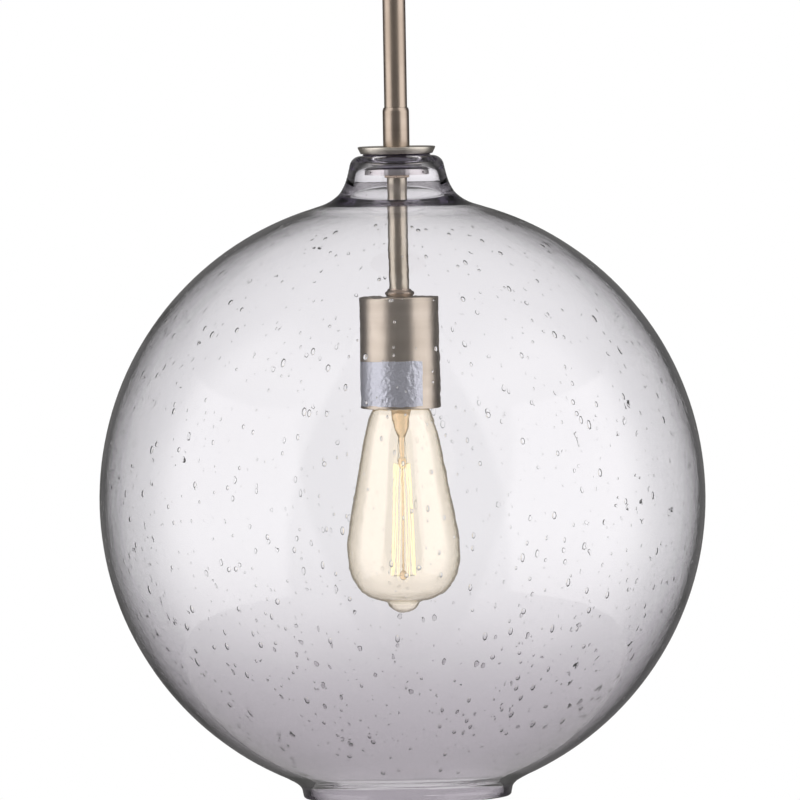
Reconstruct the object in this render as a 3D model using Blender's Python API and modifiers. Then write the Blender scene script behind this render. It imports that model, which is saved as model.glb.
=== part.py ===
"""Pendant ceiling light: a seeded-glass globe on a downrod, with a cage-filament lamp.

Metres, +Z up. The origin is on the ceiling, at the centre of the crossbar's top face, and the
light hangs down from it. Heights of the globe, the lampholder and the lamp are given from the
globe's centre, as the object is measured on a bench.
"""

import math

import bmesh
import bpy
from mathutils import Matrix, Vector

# Driving dimensions.
GAP = 0.0003  # between pieces that touch or are nested
GLOBE_R = 0.172  # outside
GLOBE_WALL = 0.003
ROD_LENGTH = 0.305
ROD_R = 0.0065
STEM_R = 0.0057
CANOPY_R = 0.0635
CANOPY_DEPTH = 0.024
CANOPY_SHEET = 0.0012
BALL_R = 0.011
BALL_Z = -0.0205
STUD_X = 0.046  # canopy studs, from the middle
CUP_R = 0.02255
CUP_SHEET = 0.0012
LAMP_R = 0.032
LAMP_WALL = 0.0009
WIRE_R = 0.00105
WIRE_CIRCLE = 0.0014  # the three wires lie on this radius inside the rod
WIRE_BORE = 0.0036  # the bore they pass through

# Heights that follow from them.
NIPPLE_R = 0.005
THREAD_HOLE = NIPPLE_R + GAP
ROD_TOP = BALL_Z - 0.013
ROD_BOTTOM = ROD_TOP - ROD_LENGTH
COUPLING_R = 0.0075
COUPLING_LENGTH = 0.0223
ROD_IN_COUPLING = 0.0081
COUPLING_TOP = ROD_BOTTOM + ROD_IN_COUPLING
COUPLING_BOTTOM = COUPLING_TOP - COUPLING_LENGTH
CAP_HEIGHT = 0.1990  # the cap's seat above the globe's centre
GLOBE_Z = COUPLING_BOTTOM - GAP - CAP_HEIGHT

# Heights from the globe's centre.
CAP_UNDER = 0.1956
GLASS_TOP = 0.1944
GLASS_HOLE_R = 0.0168
GLASS_TOP_UNDER = 0.1898
NECK_BOTTOM = -0.1695
PLATE_TOP = 0.1874
STEM_TOP = 0.2075
STEM_BOTTOM = 0.1070
CUP_TOP = 0.1146
CUP_BOTTOM = 0.0513
BODY_TOP = 0.0880
BODY_BOTTOM = 0.0535
SHELL_TOP = 0.0743  # the lamp's base shell
LAMP_TIP = -0.0649
FILAMENT_TOP = 0.0196
FILAMENT_BOTTOM = -0.0440

FINE_STEPS = 36
STEPS = 24
SHELL_STEPS = 20  # the screw shells and the lamp's glass
SMALL_STEPS = 12


def clear_scene():
    for item in list(bpy.data.objects):
        bpy.data.objects.remove(item)


def new_collection(name):
    made = bpy.data.collections.new(name)
    bpy.context.scene.collection.children.link(made)
    return made


clear_scene()
LIGHT = new_collection("pendant_light")
CUTTERS = new_collection("cutters")
CUTTERS.hide_render = True


def finish(name, colour, roughness, metallic=0.0, transmission=0.0, emission=0.0):
    """A plain Principled material."""
    made = bpy.data.materials.new(name)
    made.use_nodes = True
    shader = made.node_tree.nodes["Principled BSDF"]
    shader.inputs["Base Color"].default_value = (*colour, 1)
    shader.inputs["Roughness"].default_value = roughness
    shader.inputs["Metallic"].default_value = metallic
    shader.inputs["Transmission Weight"].default_value = transmission
    if emission:
        shader.inputs["Emission Color"].default_value = (*colour, 1)
        shader.inputs["Emission Strength"].default_value = emission
    return made


NICKEL = finish("satin_nickel", (0.52, 0.44, 0.36), 0.32, 1)
CLEAR_GLASS = finish("seeded_glass", (0.93, 0.93, 0.96), 0.02, 0, 1)
LAMP_GLASS = finish("lamp_glass", (0.98, 0.90, 0.76), 0.02, 0, 1)
RUBBER = finish("gasket_rubber", (0.05, 0.03, 0.06), 0.6)
STEEL = finish("zinc_steel", (0.62, 0.62, 0.60), 0.35, 1)
BRASS = finish("brass", (0.72, 0.55, 0.25), 0.3, 1)
CERAMIC = finish("ceramic", (0.85, 0.84, 0.80), 0.35)
NYLON = finish("nylon", (0.80, 0.78, 0.72), 0.5)
BLACK_PLASTIC = finish("black_plastic", (0.03, 0.03, 0.03), 0.35)
WHITE_PLASTIC = finish("white_plastic", (0.85, 0.85, 0.83), 0.4)
GREEN_PAINT = finish("green", (0.05, 0.35, 0.12), 0.4)
ORANGE_PLASTIC = finish("orange_plastic", (0.85, 0.30, 0.05), 0.45)
GLOW = finish("filament", (1.0, 0.72, 0.30), 0.5, 0, 0, 2)


def add_object(name, mesh, material=None, collection=LIGHT):
    made = bpy.data.objects.new(name, mesh)
    collection.objects.link(made)
    if material:
        mesh.materials.append(material)
    return made


def arc(centre_r, centre_z, radius, start, end, count):
    """Points (r, z) of an arc between two angles in degrees, both ends included."""
    angles = [math.radians(start + (end - start) * i / count) for i in range(count + 1)]
    return [(centre_r + radius * math.cos(a), centre_z + radius * math.sin(a)) for a in angles]


def turned(name, profile, material, steps=STEPS, base=0.0):
    """A closed profile of (r, z) points, down its outer side first, turned about Z. Its sides that
    lie on the axis make no surface. base is added to every height."""
    mesh = bpy.data.meshes.new(name)
    points = [(r, 0, z + base) for r, z in profile]
    sides = [(i, (i + 1) % len(points)) for i in range(len(points))]
    edges = [(a, b) for a, b in sides if points[a][0] > 0 or points[b][0] > 0]
    mesh.from_pydata(points, edges, [])
    made = add_object(name, mesh, material)
    screw = made.modifiers.new("turn", "SCREW")
    screw.axis = "Z"
    screw.angle = math.tau
    screw.steps = screw.render_steps = steps
    screw.use_merge_vertices = True
    screw.merge_threshold = 0.00001
    screw.use_smooth_shade = True
    return made


def ring(name, outer, inner, top, bottom, material, steps=STEPS, base=0.0):
    """A plain turned tube or washer."""
    profile = [(outer, top), (outer, bottom), (inner, bottom), (inner, top)]
    return turned(name, profile, material, steps, base=base)


def tube(name, points, radius, material, sides=2):
    """A wire along points, with closed ends."""
    data = bpy.data.curves.new(name, "CURVE")
    data.dimensions = "3D"
    data.bevel_depth = radius
    data.bevel_resolution = sides
    data.use_fill_caps = True
    spline = data.splines.new("POLY")
    spline.points.add(len(points) - 1)
    for place, point in zip(spline.points, points):
        place.co = (*point, 1)
    made = bpy.data.objects.new(name, data)
    LIGHT.objects.link(made)
    data.materials.append(material)
    return made


def plate(name, outlines, top, thickness, material):
    """A flat piece: closed outlines of (x, y), the outer one first, then its holes."""
    data = bpy.data.curves.new(name, "CURVE")
    data.dimensions = "2D"
    data.fill_mode = "BOTH"
    data.extrude = thickness / 2
    for outline in outlines:
        spline = data.splines.new("POLY")
        spline.points.add(len(outline) - 1)
        for place, (x, y) in zip(spline.points, outline):
            place.co = (x, y, 0, 1)
        spline.use_cyclic_u = True
    made = bpy.data.objects.new(name, data)
    LIGHT.objects.link(made)
    made.location.z = top - thickness / 2
    data.materials.append(material)
    return made


def slot_outline(x, y, length, width, count=5):
    """A round-ended slot along X; a length equal to its width gives a circle."""
    r = width / 2
    half = length / 2 - r
    right = [(x + half + p, y + q) for p, q in arc(0, 0, r, -90, 90, count)]
    left = [(x - half + p, y + q) for p, q in arc(0, 0, r, 90, 270, count)]
    points = right + left
    return points if half > 0 else points[:count] + points[count + 1 : -1]


def cutter(name, radius, depth, place, axis="Z", steps=16):
    """A round cutter, centred on place."""
    mesh = bpy.data.meshes.new(name)
    shape = bmesh.new()
    bmesh.ops.create_cone(
        shape, cap_ends=True, segments=steps, radius1=radius, radius2=radius, depth=depth
    )
    if axis == "X":
        bmesh.ops.rotate(shape, verts=shape.verts, matrix=Matrix.Rotation(math.pi / 2, 3, "Y"))
    bmesh.ops.translate(shape, verts=shape.verts, vec=Vector(place))
    shape.to_mesh(mesh)
    shape.free()
    made = add_object(name, mesh, None, CUTTERS)
    made.hide_render = True
    made.display_type = "WIRE"
    return made


def cut(piece, *tools):
    for tool in tools:
        boolean = piece.modifiers.new("cut_" + tool.name, "BOOLEAN")
        boolean.operation = "DIFFERENCE"
        boolean.object = tool
        boolean.solver = "EXACT"
    return piece


def hex_nut(name, flats, thickness, hole_r, place, material):
    """A hexagon nut with a round hole; place is its middle."""
    mesh = bpy.data.meshes.new(name)
    shape = bmesh.new()
    corner = flats / math.sqrt(3)
    bmesh.ops.create_cone(
        shape, cap_ends=True, segments=6, radius1=corner, radius2=corner, depth=thickness
    )
    bmesh.ops.translate(shape, verts=shape.verts, vec=Vector(place))
    shape.to_mesh(mesh)
    shape.free()
    made = add_object(name, mesh, material)
    return cut(made, cutter(name + "_hole", hole_r, thickness * 2, place))


def screw_fastener(name, head_r, head_height, shank_r, shank_length, material, place, turn=None):
    """A pan-head screw, head up, with the head's seat at place."""
    profile = [
        (0, head_height),
        (head_r * 0.75, head_height),
        (head_r, head_height * 0.45),
        (head_r, 0),
        (shank_r, 0),
        (shank_r, -shank_length),
        (0, -shank_length),
    ]
    made = turned(name, profile, material, SMALL_STEPS)
    made.location = place
    if turn:
        made.rotation_euler = turn
    return made


# Ceiling end. -------------------------------------------------------------------------------
BAR_SHEET = 0.002
BAR_LENGTH = 0.104
BAR_WIDTH = 0.019
STUD_R = 0.0021
GROUND_X = 0.018
BOX_SLOT = (0.034, 0.010, 0.0048)  # place along X, length, width


def crossbar():
    corner = 0.003
    half_x, half_y = BAR_LENGTH / 2 - corner, BAR_WIDTH / 2 - corner
    outline = []
    for start, sx, sy in ((0, 1, 1), (90, -1, 1), (180, -1, -1), (270, 1, -1)):
        outline += arc(sx * half_x, sy * half_y, corner, start, start + 90, 3)
    hole = 2 * (STUD_R + GAP)
    holes = [slot_outline(side * STUD_X, 0, hole, hole) for side in (-1, 1)]
    holes += [slot_outline(side * BOX_SLOT[0], 0, BOX_SLOT[1], BOX_SLOT[2]) for side in (-1, 1)]
    holes.append(slot_outline(GROUND_X, 0, hole, hole))
    return plate("crossbar", [outline] + holes, 0, BAR_SHEET, STEEL)


def canopy():
    """A shallow pan, open towards the ceiling, with a hole for the swivel and two for studs."""
    corner, inner_corner = 0.009, 0.009 - CANOPY_SHEET
    foot = CANOPY_R - corner
    outer = [(CANOPY_R, 0)] + arc(foot, -CANOPY_DEPTH + corner, corner, 0, -90, 4)
    hole = SWIVEL_HOLE
    inner = [(hole, -CANOPY_DEPTH), (hole, -CANOPY_DEPTH + CANOPY_SHEET)]
    inner += arc(foot, -CANOPY_DEPTH + corner, inner_corner, -90, 0, 4)
    inner.append((CANOPY_R - CANOPY_SHEET, 0))
    made = turned("canopy", outer + inner, NICKEL, FINE_STEPS)
    for side, word in ((-1, "left"), (1, "right")):
        place = (side * STUD_X, 0, -CANOPY_DEPTH)
        cut(made, cutter(f"canopy_hole_{word}", STUD_R + GAP, 0.01, place))


def studs():
    """Each stud screws up into the bar, is locked by a nut and takes a ball knob from below."""
    knob_r = 0.0048
    knob_top = -CANOPY_DEPTH - GAP
    bore = 0.0062
    for side, word in ((-1, "left"), (1, "right")):
        x = side * STUD_X
        stud_bottom = knob_top - bore + 0.0008
        stud = turned(
            f"canopy_stud_{word}",
            [(0, -GAP), (STUD_R, -GAP), (STUD_R, stud_bottom), (0, stud_bottom)],
            STEEL,
            SMALL_STEPS,
        )
        stud.location.x = x
        middle = -BAR_SHEET - GAP - 0.0016
        hex_nut(f"stud_nut_{word}", 0.0085, 0.0032, STUD_R + GAP, (x, 0, middle), STEEL)
        hole = STUD_R + GAP
        profile = [(0.0034, knob_top)]
        profile += arc(0, knob_top - knob_r - 0.0008, knob_r, 30, -78, 7)
        profile += [(0, knob_top - 2 * knob_r - 0.0008), (0, knob_top - bore)]
        profile += [(hole, knob_top - bore), (hole, knob_top)]
        knob = turned(f"ball_knob_{word}", profile, NICKEL, SMALL_STEPS)
        knob.location.x = x


# Swivel. ------------------------------------------------------------------------------------
RING_R = 0.0142
SWIVEL_HOLE = RING_R + 0.0004
SEAT_R = BALL_R + 0.0005
LIP_DROP = 0.007
RING_DROP = 0.008
RING_RISE = 0.004


def bearing_ring():
    """A nylon ring with a hollow spherical seat; its flange rests on the canopy's floor."""
    flange_r, flange_sheet = 0.0185, 0.002
    flange_under = -CANOPY_DEPTH + CANOPY_SHEET + GAP
    seat_top = BALL_Z + RING_RISE
    profile = [
        (RING_R, seat_top),
        (RING_R, flange_under + flange_sheet),
        (flange_r, flange_under + flange_sheet),
        (flange_r, flange_under),
        (RING_R, flange_under),
        (RING_R, BALL_Z - RING_DROP),
        (0.0098, BALL_Z - RING_DROP),
    ]
    lip = -math.degrees(math.asin(LIP_DROP / SEAT_R))
    profile += arc(0, BALL_Z, SEAT_R, lip, 0, 4)
    profile.append((SEAT_R, seat_top))
    turned("bearing_ring", profile, NYLON)


def swivel_ball():
    """A ball with a through bore for the nipple below and the wires above."""
    cap = math.degrees(math.acos(THREAD_HOLE / BALL_R))
    profile = arc(0, BALL_Z, BALL_R, cap, -cap, 10)
    top = BALL_Z + BALL_R * math.sin(math.radians(cap))
    waist = BALL_Z + 0.0035
    profile += [(THREAD_HOLE, waist), (WIRE_BORE, waist), (WIRE_BORE, top)]
    turned("swivel_ball", profile, NICKEL)


def swivel_nipple():
    top = BALL_Z + 0.0032
    bottom = ROD_TOP - 0.012
    ring("swivel_nipple", NIPPLE_R, WIRE_BORE, top, bottom, STEEL, SMALL_STEPS)


def downrod():
    """A tube with a threaded plug in each end, made as one turned piece."""
    inside = ROD_R - 0.0011
    plug = 0.014
    profile = [
        (ROD_R, ROD_TOP),
        (ROD_R, ROD_BOTTOM),
        (WIRE_BORE + 0.001, ROD_BOTTOM),
        (WIRE_BORE + 0.001, ROD_BOTTOM + plug),
        (inside, ROD_BOTTOM + plug + 0.001),
        (inside, ROD_TOP - plug - 0.001),
        (THREAD_HOLE, ROD_TOP - plug),
        (THREAD_HOLE, ROD_TOP),
    ]
    turned("downrod", profile, NICKEL)


def rod_coupling():
    chamfer = 0.0018
    rod_hole = ROD_R + GAP
    stem_hole = STEM_R + GAP
    shoulder = ROD_BOTTOM - GAP
    stem_stop = GLOBE_Z + STEM_TOP + GAP
    profile = [
        (rod_hole + 0.0002, COUPLING_TOP),
        (COUPLING_R, COUPLING_TOP - chamfer),
        (COUPLING_R, COUPLING_BOTTOM),
        (stem_hole, COUPLING_BOTTOM),
        (stem_hole, stem_stop),
        (WIRE_BORE, stem_stop),
        (WIRE_BORE, shoulder),
        (rod_hole, shoulder),
        (rod_hole, COUPLING_TOP),
    ]
    turned("rod_coupling", profile, NICKEL)


# Globe and what clamps it. ------------------------------------------------------------------
CAP_RIM_R = 0.0221


def top_cap():
    """A thin dish: the rim stands a little proud and the side tapers in towards the glass."""
    hole = STEM_R + GAP
    profile = [
        (CAP_RIM_R - 0.0008, CAP_HEIGHT + 0.0007),
        (CAP_RIM_R, CAP_HEIGHT + 0.0003),
        (CAP_RIM_R - 0.0002, CAP_HEIGHT - 0.0004),
        (0.0204, CAP_UNDER),
        (hole, CAP_UNDER),
        (hole, CAP_HEIGHT),
        (CAP_RIM_R - 0.0022, CAP_HEIGHT),
    ]
    turned("top_cap", profile, NICKEL, base=GLOBE_Z)


def gaskets():
    ring("upper_gasket", 0.0193, 0.0062, CAP_UNDER - GAP, GLASS_TOP + GAP, RUBBER, base=GLOBE_Z)
    seat = GLASS_TOP_UNDER - GAP
    collar_r = GLASS_HOLE_R - GAP
    profile = [
        (collar_r, GLASS_TOP - 0.0006),
        (collar_r, seat),
        (0.0190, seat),
        (0.0186, seat - 0.0007),
        (0.0165, PLATE_TOP + GAP),
        (STEM_R + GAP, PLATE_TOP + GAP),
        (STEM_R + GAP, GLASS_TOP - 0.0006),
    ]
    turned("lower_gasket", profile, RUBBER, base=GLOBE_Z)


def retaining_parts():
    """A thick plate with four blind spanner holes in its rim, and the nut that holds it."""
    plate_r = 0.0182
    plate_under = PLATE_TOP - 0.0042
    hole = STEM_R + GAP
    made = ring("retaining_plate", plate_r, hole, PLATE_TOP, plate_under, NICKEL, 48, GLOBE_Z)
    for i, angle in enumerate((-38, 38, 142, 218)):
        place = (plate_r, 0, GLOBE_Z + (PLATE_TOP + plate_under) / 2)
        tool = cutter(f"spanner_hole_{i}", 0.0009, 0.005, place, "X", 8)
        tool.rotation_euler.z = math.radians(angle)
        cut(made, tool)
    thickness = 0.0022
    middle = GLOBE_Z + plate_under - GAP - thickness / 2
    hex_nut("retaining_nut", 0.0140, thickness, hole, (0, 0, middle), NICKEL)


def glass_globe():
    """Outer wall from the top hole down to the lower neck, then back up the inner wall."""
    shoulder_r, shoulder_z = 0.0204, 0.1880
    outer = [(GLASS_HOLE_R, GLASS_TOP)]
    outer += arc(shoulder_r, shoulder_z, GLASS_TOP - shoulder_z, 90, 8, 4)
    outer += [(0.0284, 0.1822), (0.0302, 0.1775), (0.0335, 0.1725), (0.0400, 0.1680)]
    start = math.degrees(math.asin(0.1648 / GLOBE_R))
    neck_join = -math.degrees(math.acos(0.0690 / GLOBE_R))
    outer += arc(0, 0, GLOBE_R, start, 0, 7)
    outer += arc(0, 0, GLOBE_R, 0, neck_join, 6)[1:]
    outer += [(0.0630, -0.1609), (0.0602, -0.1637), (0.0594, -0.1665), (0.0590, NECK_BOTTOM + 0.001)]
    outer += [(0.0580, NECK_BOTTOM), (0.0560, NECK_BOTTOM), (0.0550, NECK_BOTTOM + 0.001)]
    inner_r = GLOBE_R - GLOBE_WALL
    inner = [(0.0548, -0.1640), (0.0565, -0.1603)]
    low = -math.degrees(math.acos(0.0610 / inner_r))
    high = math.degrees(math.asin(0.1612 / inner_r))
    inner += arc(0, 0, inner_r, low, 0, 6)
    inner += arc(0, 0, inner_r, 0, high, 7)[1:]
    inner += [(0.0385, 0.1660), (0.0300, 0.1708), (0.0258, 0.1755), (0.0240, 0.1810)]
    inner += [(0.0228, 0.1862), (0.0200, GLASS_TOP_UNDER), (GLASS_HOLE_R, GLASS_TOP_UNDER)]
    turned("glass_globe", outer + inner, CLEAR_GLASS, FINE_STEPS, base=GLOBE_Z)


def stem():
    ring("stem", STEM_R, STEM_R - 0.001, STEM_TOP, STEM_BOTTOM, NICKEL, SMALL_STEPS, GLOBE_Z)


# Lampholder. --------------------------------------------------------------------------------
STRAP_SHEET = 0.0012
STRAP_LEG = 0.0125
STRAP_FOOT = 0.0185
FOOT_SCREW_X = 0.0155


def stem_nuts():
    """A small flared nut above the cup and a hexagon lock nut below the strap."""
    bottom = CUP_TOP + GAP
    hole = STEM_R + GAP
    profile = [
        (0.0066, bottom + 0.0040),
        (0.0070, bottom + 0.0030),
        (0.0080, bottom + 0.0023),
        (0.0082, bottom + 0.0015),
        (0.0074, bottom),
        (hole, bottom),
        (hole, bottom + 0.0040),
    ]
    turned("stem_nut", profile, NICKEL, base=GLOBE_Z)
    strap_under = CUP_TOP - CUP_SHEET - GAP - STRAP_SHEET
    thickness = 0.0030
    middle = GLOBE_Z + strap_under - GAP - thickness / 2
    hex_nut("cup_lock_nut", 0.0140, thickness, hole, (0, 0, middle), STEEL)


def socket_cup():
    inside = CUP_R - CUP_SHEET
    hole = STEM_R + GAP
    edge = 0.0006
    profile = [
        (CUP_R - edge, CUP_TOP),
        (CUP_R, CUP_TOP - edge),
        (CUP_R, CUP_BOTTOM),
        (inside, CUP_BOTTOM),
        (inside, CUP_TOP - CUP_SHEET),
        (hole, CUP_TOP - CUP_SHEET),
        (hole, CUP_TOP),
    ]
    turned("socket_cup", profile, NICKEL, FINE_STEPS, base=GLOBE_Z)


def socket_strap():
    """A bent steel strap: it hangs under the cup's top and its feet sit on the ceramic body."""
    top = GLOBE_Z + CUP_TOP - CUP_SHEET - GAP
    foot = GLOBE_Z + BODY_TOP + GAP + STRAP_SHEET
    half_width = 0.008
    path = [(-STRAP_FOOT, foot), (-STRAP_LEG, foot), (-STRAP_LEG, top)]
    path += [(STRAP_LEG, top), (STRAP_LEG, foot), (STRAP_FOOT, foot)]
    mesh = bpy.data.meshes.new("socket_strap")
    shape = bmesh.new()
    sides = [[shape.verts.new((x, y, z)) for x, z in path] for y in (-half_width, half_width)]
    for i in range(len(path) - 1):
        shape.faces.new((sides[0][i], sides[0][i + 1], sides[1][i + 1], sides[1][i]))
    shape.to_mesh(mesh)
    shape.free()
    made = add_object("socket_strap", mesh, STEEL)
    wall = made.modifiers.new("sheet", "SOLIDIFY")
    wall.thickness = STRAP_SHEET
    wall.offset = -1
    cut(made, cutter("strap_hole", STEM_R + GAP, 0.006, (0, 0, top)))
    for side, word in ((-1, "left"), (1, "right")):
        place = (side * FOOT_SCREW_X, 0, foot)
        cut(made, cutter(f"strap_foot_hole_{word}", 0.0019, 0.006, place))
        screw_fastener(
            f"strap_screw_{word}",
            0.0026,
            0.0016,
            0.0015,
            0.005,
            STEEL,
            (side * FOOT_SCREW_X, 0, foot + GAP),
        )
    hole_z = GLOBE_Z + 0.0985
    cut(made, cutter("strap_ground_hole", 0.0018, 0.006, (STRAP_LEG, 0, hole_z), "X"))
    screw_fastener(
        "strap_ground_screw",
        0.0028,
        0.0014,
        0.0014,
        0.0032,
        GREEN_PAINT,
        (STRAP_LEG - STRAP_SHEET - GAP, 0, hole_z),
        (0, -math.pi / 2, 0),
    )


TERMINAL_Y = 0.0105


def socket_body():
    """Ceramic: a mouth for the screw shell below, a thick floor, screw holes from above."""
    outer, mouth, floor = 0.0196, 0.0148, 0.0820
    edge = 0.001
    profile = [
        (0, BODY_TOP),
        (outer - edge, BODY_TOP),
        (outer, BODY_TOP - edge),
        (outer, BODY_BOTTOM),
        (mouth, BODY_BOTTOM),
        (mouth, floor),
        (0, floor),
    ]
    made = turned("socket_body", profile, CERAMIC, base=GLOBE_Z)
    top = GLOBE_Z + BODY_TOP
    cut(made, cutter("contact_hole", 0.0018, 0.02, (0, 0, top)))
    for side, word in ((-1, "left"), (1, "right")):
        cut(made, cutter(f"body_foot_hole_{word}", 0.0018, 0.009, (side * FOOT_SCREW_X, 0, top)))
    for side, word in ((-1, "live"), (1, "neutral")):
        place = (0, side * TERMINAL_Y, top)
        cut(made, cutter(f"{word}_hole", 0.0018, 0.008, place))
        screw_fastener(
            f"{word}_terminal_screw",
            0.0032,
            0.0018,
            0.0015,
            0.0032,
            BRASS if word == "live" else STEEL,
            (0, side * TERMINAL_Y, top + GAP),
        )


THREAD_PITCH = 0.00363
THREAD_DEPTH = 0.00030


def threads(crest, top, turns):
    """Points of rounded thread ridges, going down from top."""
    points = []
    for i in range(turns):
        z = top - i * THREAD_PITCH
        points += [(crest - THREAD_DEPTH, z), (crest, z - THREAD_PITCH / 2)]
    return points + [(crest - THREAD_DEPTH, top - turns * THREAD_PITCH)]


def screw_shell():
    outer = threads(0.0144, 0.0760, 5)
    inner = [(r - 0.0005, z) for r, z in reversed(outer)]
    turned("screw_shell", outer + inner, BRASS, SHELL_STEPS, base=GLOBE_Z)


def centre_contact():
    """A sprung tongue below the floor and its rivet head above."""
    floor = 0.0820
    profile = [
        (0, BODY_TOP + 0.0013),
        (0.0026, BODY_TOP + 0.0013),
        (0.0026, BODY_TOP + GAP),
        (0.0014, BODY_TOP + GAP),
        (0.0014, floor - GAP),
        (0.0048, floor - GAP),
        (0.0048, floor - 0.0010),
        (0.0020, floor - 0.0018),
        (0, floor - 0.0018),
    ]
    turned("centre_contact", profile, BRASS, SMALL_STEPS, base=GLOBE_Z)


# Lamp. --------------------------------------------------------------------------------------
BASE_TOP = 0.0768


def base_shell():
    outer = [(0.0062, SHELL_TOP + 0.0008), (0.0120, SHELL_TOP)]
    outer += threads(0.0131, SHELL_TOP - 0.0008, 5)
    end = outer[-1][1]
    inner = [(0.0125, end - 0.0012), (0.0121, end - 0.0012), (0.0121, SHELL_TOP - 0.0012)]
    inner.append((0.0062, SHELL_TOP - 0.0004))
    lip = [(0.0129, end - 0.0012)]
    turned("base_shell", outer + lip + inner, BRASS, SHELL_STEPS, base=GLOBE_Z)
    ring("base_insulator", 0.0098, 0.0030, BASE_TOP, SHELL_TOP + 0.0012, BLACK_PLASTIC, SMALL_STEPS,
         GLOBE_Z)
    top = BASE_TOP + GAP
    profile = [(0, top + 0.0018), (0.0032, top + 0.0012), (0.0046, top), (0, top)]
    turned("base_contact", profile, STEEL, SMALL_STEPS, base=GLOBE_Z)


def envelope_outline(inset):
    """The lamp's glass from the neck inside the base down to the tip, inset by its wall."""
    outline = [
        (0.0116, 0.0705),
        (0.0116, 0.0538),
        (0.0142, 0.0524),
        (0.0166, 0.0500),
        (0.0190, 0.0430),
        (0.0213, 0.0348),
        (0.0255, 0.0116),
        (0.0291, -0.0072),
        (0.0312, -0.0200),
        (LAMP_R, -0.0293),
        (0.0313, -0.0385),
        (0.0287, -0.0465),
        (0.0240, -0.0528),
        (0.0175, -0.0565),
        (0.0093, -0.0588),
        (0.0078, -0.0614),
        (0.0047, -0.0640),
        (0, LAMP_TIP),
    ]
    if not inset:
        return outline
    moved = []
    for i, (r, z) in enumerate(outline):
        before, after = outline[max(i - 1, 0)], outline[min(i + 1, len(outline) - 1)]
        along = Vector((after[0] - before[0], after[1] - before[1])).normalized()
        moved.append((max(r + along.y * inset, 0), z - along.x * inset))
    moved[-1] = (0, LAMP_TIP + inset)
    return moved


def lamp_glass():
    """An open-necked envelope: the wall's outer and inner outlines meet at the neck's edge."""
    outline = envelope_outline(0) + list(reversed(envelope_outline(LAMP_WALL)))
    turned("lamp_glass", outline, LAMP_GLASS, SHELL_STEPS, base=GLOBE_Z)


def glass_mount():
    """The flare and press in the neck, then a thin post down the middle with two buttons."""
    profile = [
        (0, 0.0690),
        (0.0098, 0.0690),
        (0.0072, 0.0600),
        (0.0056, 0.0500),
        (0.0046, 0.0430),
        (0.0036, 0.0385),
        (0.0016, 0.0340),
        (0.0014, FILAMENT_TOP + 0.0035),
        (0.0021, FILAMENT_TOP + 0.0018),
        (0.0021, FILAMENT_TOP - 0.0018),
        (0.0008, FILAMENT_TOP - 0.0034),
        (0.0008, FILAMENT_BOTTOM + 0.0030),
        (0.0018, FILAMENT_BOTTOM + 0.0014),
        (0.0018, FILAMENT_BOTTOM - 0.0012),
        (0, FILAMENT_BOTTOM - 0.0026),
    ]
    turned("glass_mount", profile, LAMP_GLASS, SMALL_STEPS, base=GLOBE_Z)


HOOKS = 6
TOP_HOOK_R = 0.0046
LOW_HOOK_R = 0.0068
CAGE_START = math.radians(120)  # the cage is open at the back, where the lead wires come down
CAGE_STEP = math.radians(300) / (2 * HOOKS)
FILAMENT_R = 0.0003
HOOK_RUN = 0.0006  # the filament lies flat over each hook for this far on both sides


def hook_angle(i):
    return CAGE_START + i * CAGE_STEP


def filament():
    """One wire that goes down and up between the upper and the lower hooks."""
    points = []
    for i in range(2 * HOOKS + 1):
        low = i % 2
        r = LOW_HOOK_R if low else TOP_HOOK_R
        z = FILAMENT_BOTTOM if low else FILAMENT_TOP
        is_end = i in (0, 2 * HOOKS)
        for run in (0,) if is_end else (-HOOK_RUN, HOOK_RUN):
            a = hook_angle(i) + run / r
            points.append((r * math.cos(a), r * math.sin(a), z + GLOBE_Z))
    tube("filament", points, FILAMENT_R, GLOW, 1)


def anchors(name, reach, button_r, height, angles):
    """A thin collar round the button, with a wire spoke to each hook."""
    collar = ring(name, button_r + 0.0009, button_r + GAP, height + 0.0003, height - 0.0003, STEEL,
                  SMALL_STEPS, GLOBE_Z)
    wire = 0.0002
    for i, angle in enumerate(angles):
        start, end = button_r + 0.0006, reach - FILAMENT_R - GAP
        mesh = bpy.data.meshes.new(f"{name}_spoke_{i}")
        shape = bmesh.new()
        bmesh.ops.create_cube(shape, size=1)
        bmesh.ops.scale(shape, verts=shape.verts, vec=(end - start, 2 * wire, 2 * wire))
        bmesh.ops.translate(shape, verts=shape.verts, vec=((start + end) / 2, 0, height + GLOBE_Z))
        bmesh.ops.rotate(shape, verts=shape.verts, matrix=Matrix.Rotation(angle, 3, "Z"))
        shape.to_mesh(mesh)
        shape.free()
        spoke = add_object(mesh.name, mesh, STEEL, CUTTERS)
        spoke.hide_render = True
        spoke.display_type = "WIRE"
        union = collar.modifiers.new(mesh.name, "BOOLEAN")
        union.operation = "UNION"
        union.object = spoke


def filament_supports():
    upper = [hook_angle(2 * i) for i in range(1, HOOKS)]
    lower = [hook_angle(2 * i + 1) for i in range(HOOKS)]
    anchors("upper_anchors", TOP_HOOK_R, 0.0021, FILAMENT_TOP, upper)
    anchors("lower_anchors", LOW_HOOK_R, 0.0018, FILAMENT_BOTTOM, lower)
    for i, word in ((0, "left"), (2 * HOOKS, "right")):
        a = hook_angle(i)
        near, far = 0.0026, TOP_HOOK_R
        path = [
            (near * math.cos(a), near * math.sin(a), GLOBE_Z + 0.0355),
            (far * math.cos(a), far * math.sin(a), GLOBE_Z + 0.0300),
            (far * math.cos(a), far * math.sin(a), GLOBE_Z + FILAMENT_TOP + FILAMENT_R + GAP),
        ]
        tube(f"lead_wire_{word}", path, 0.0003, STEEL, 1)


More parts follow.
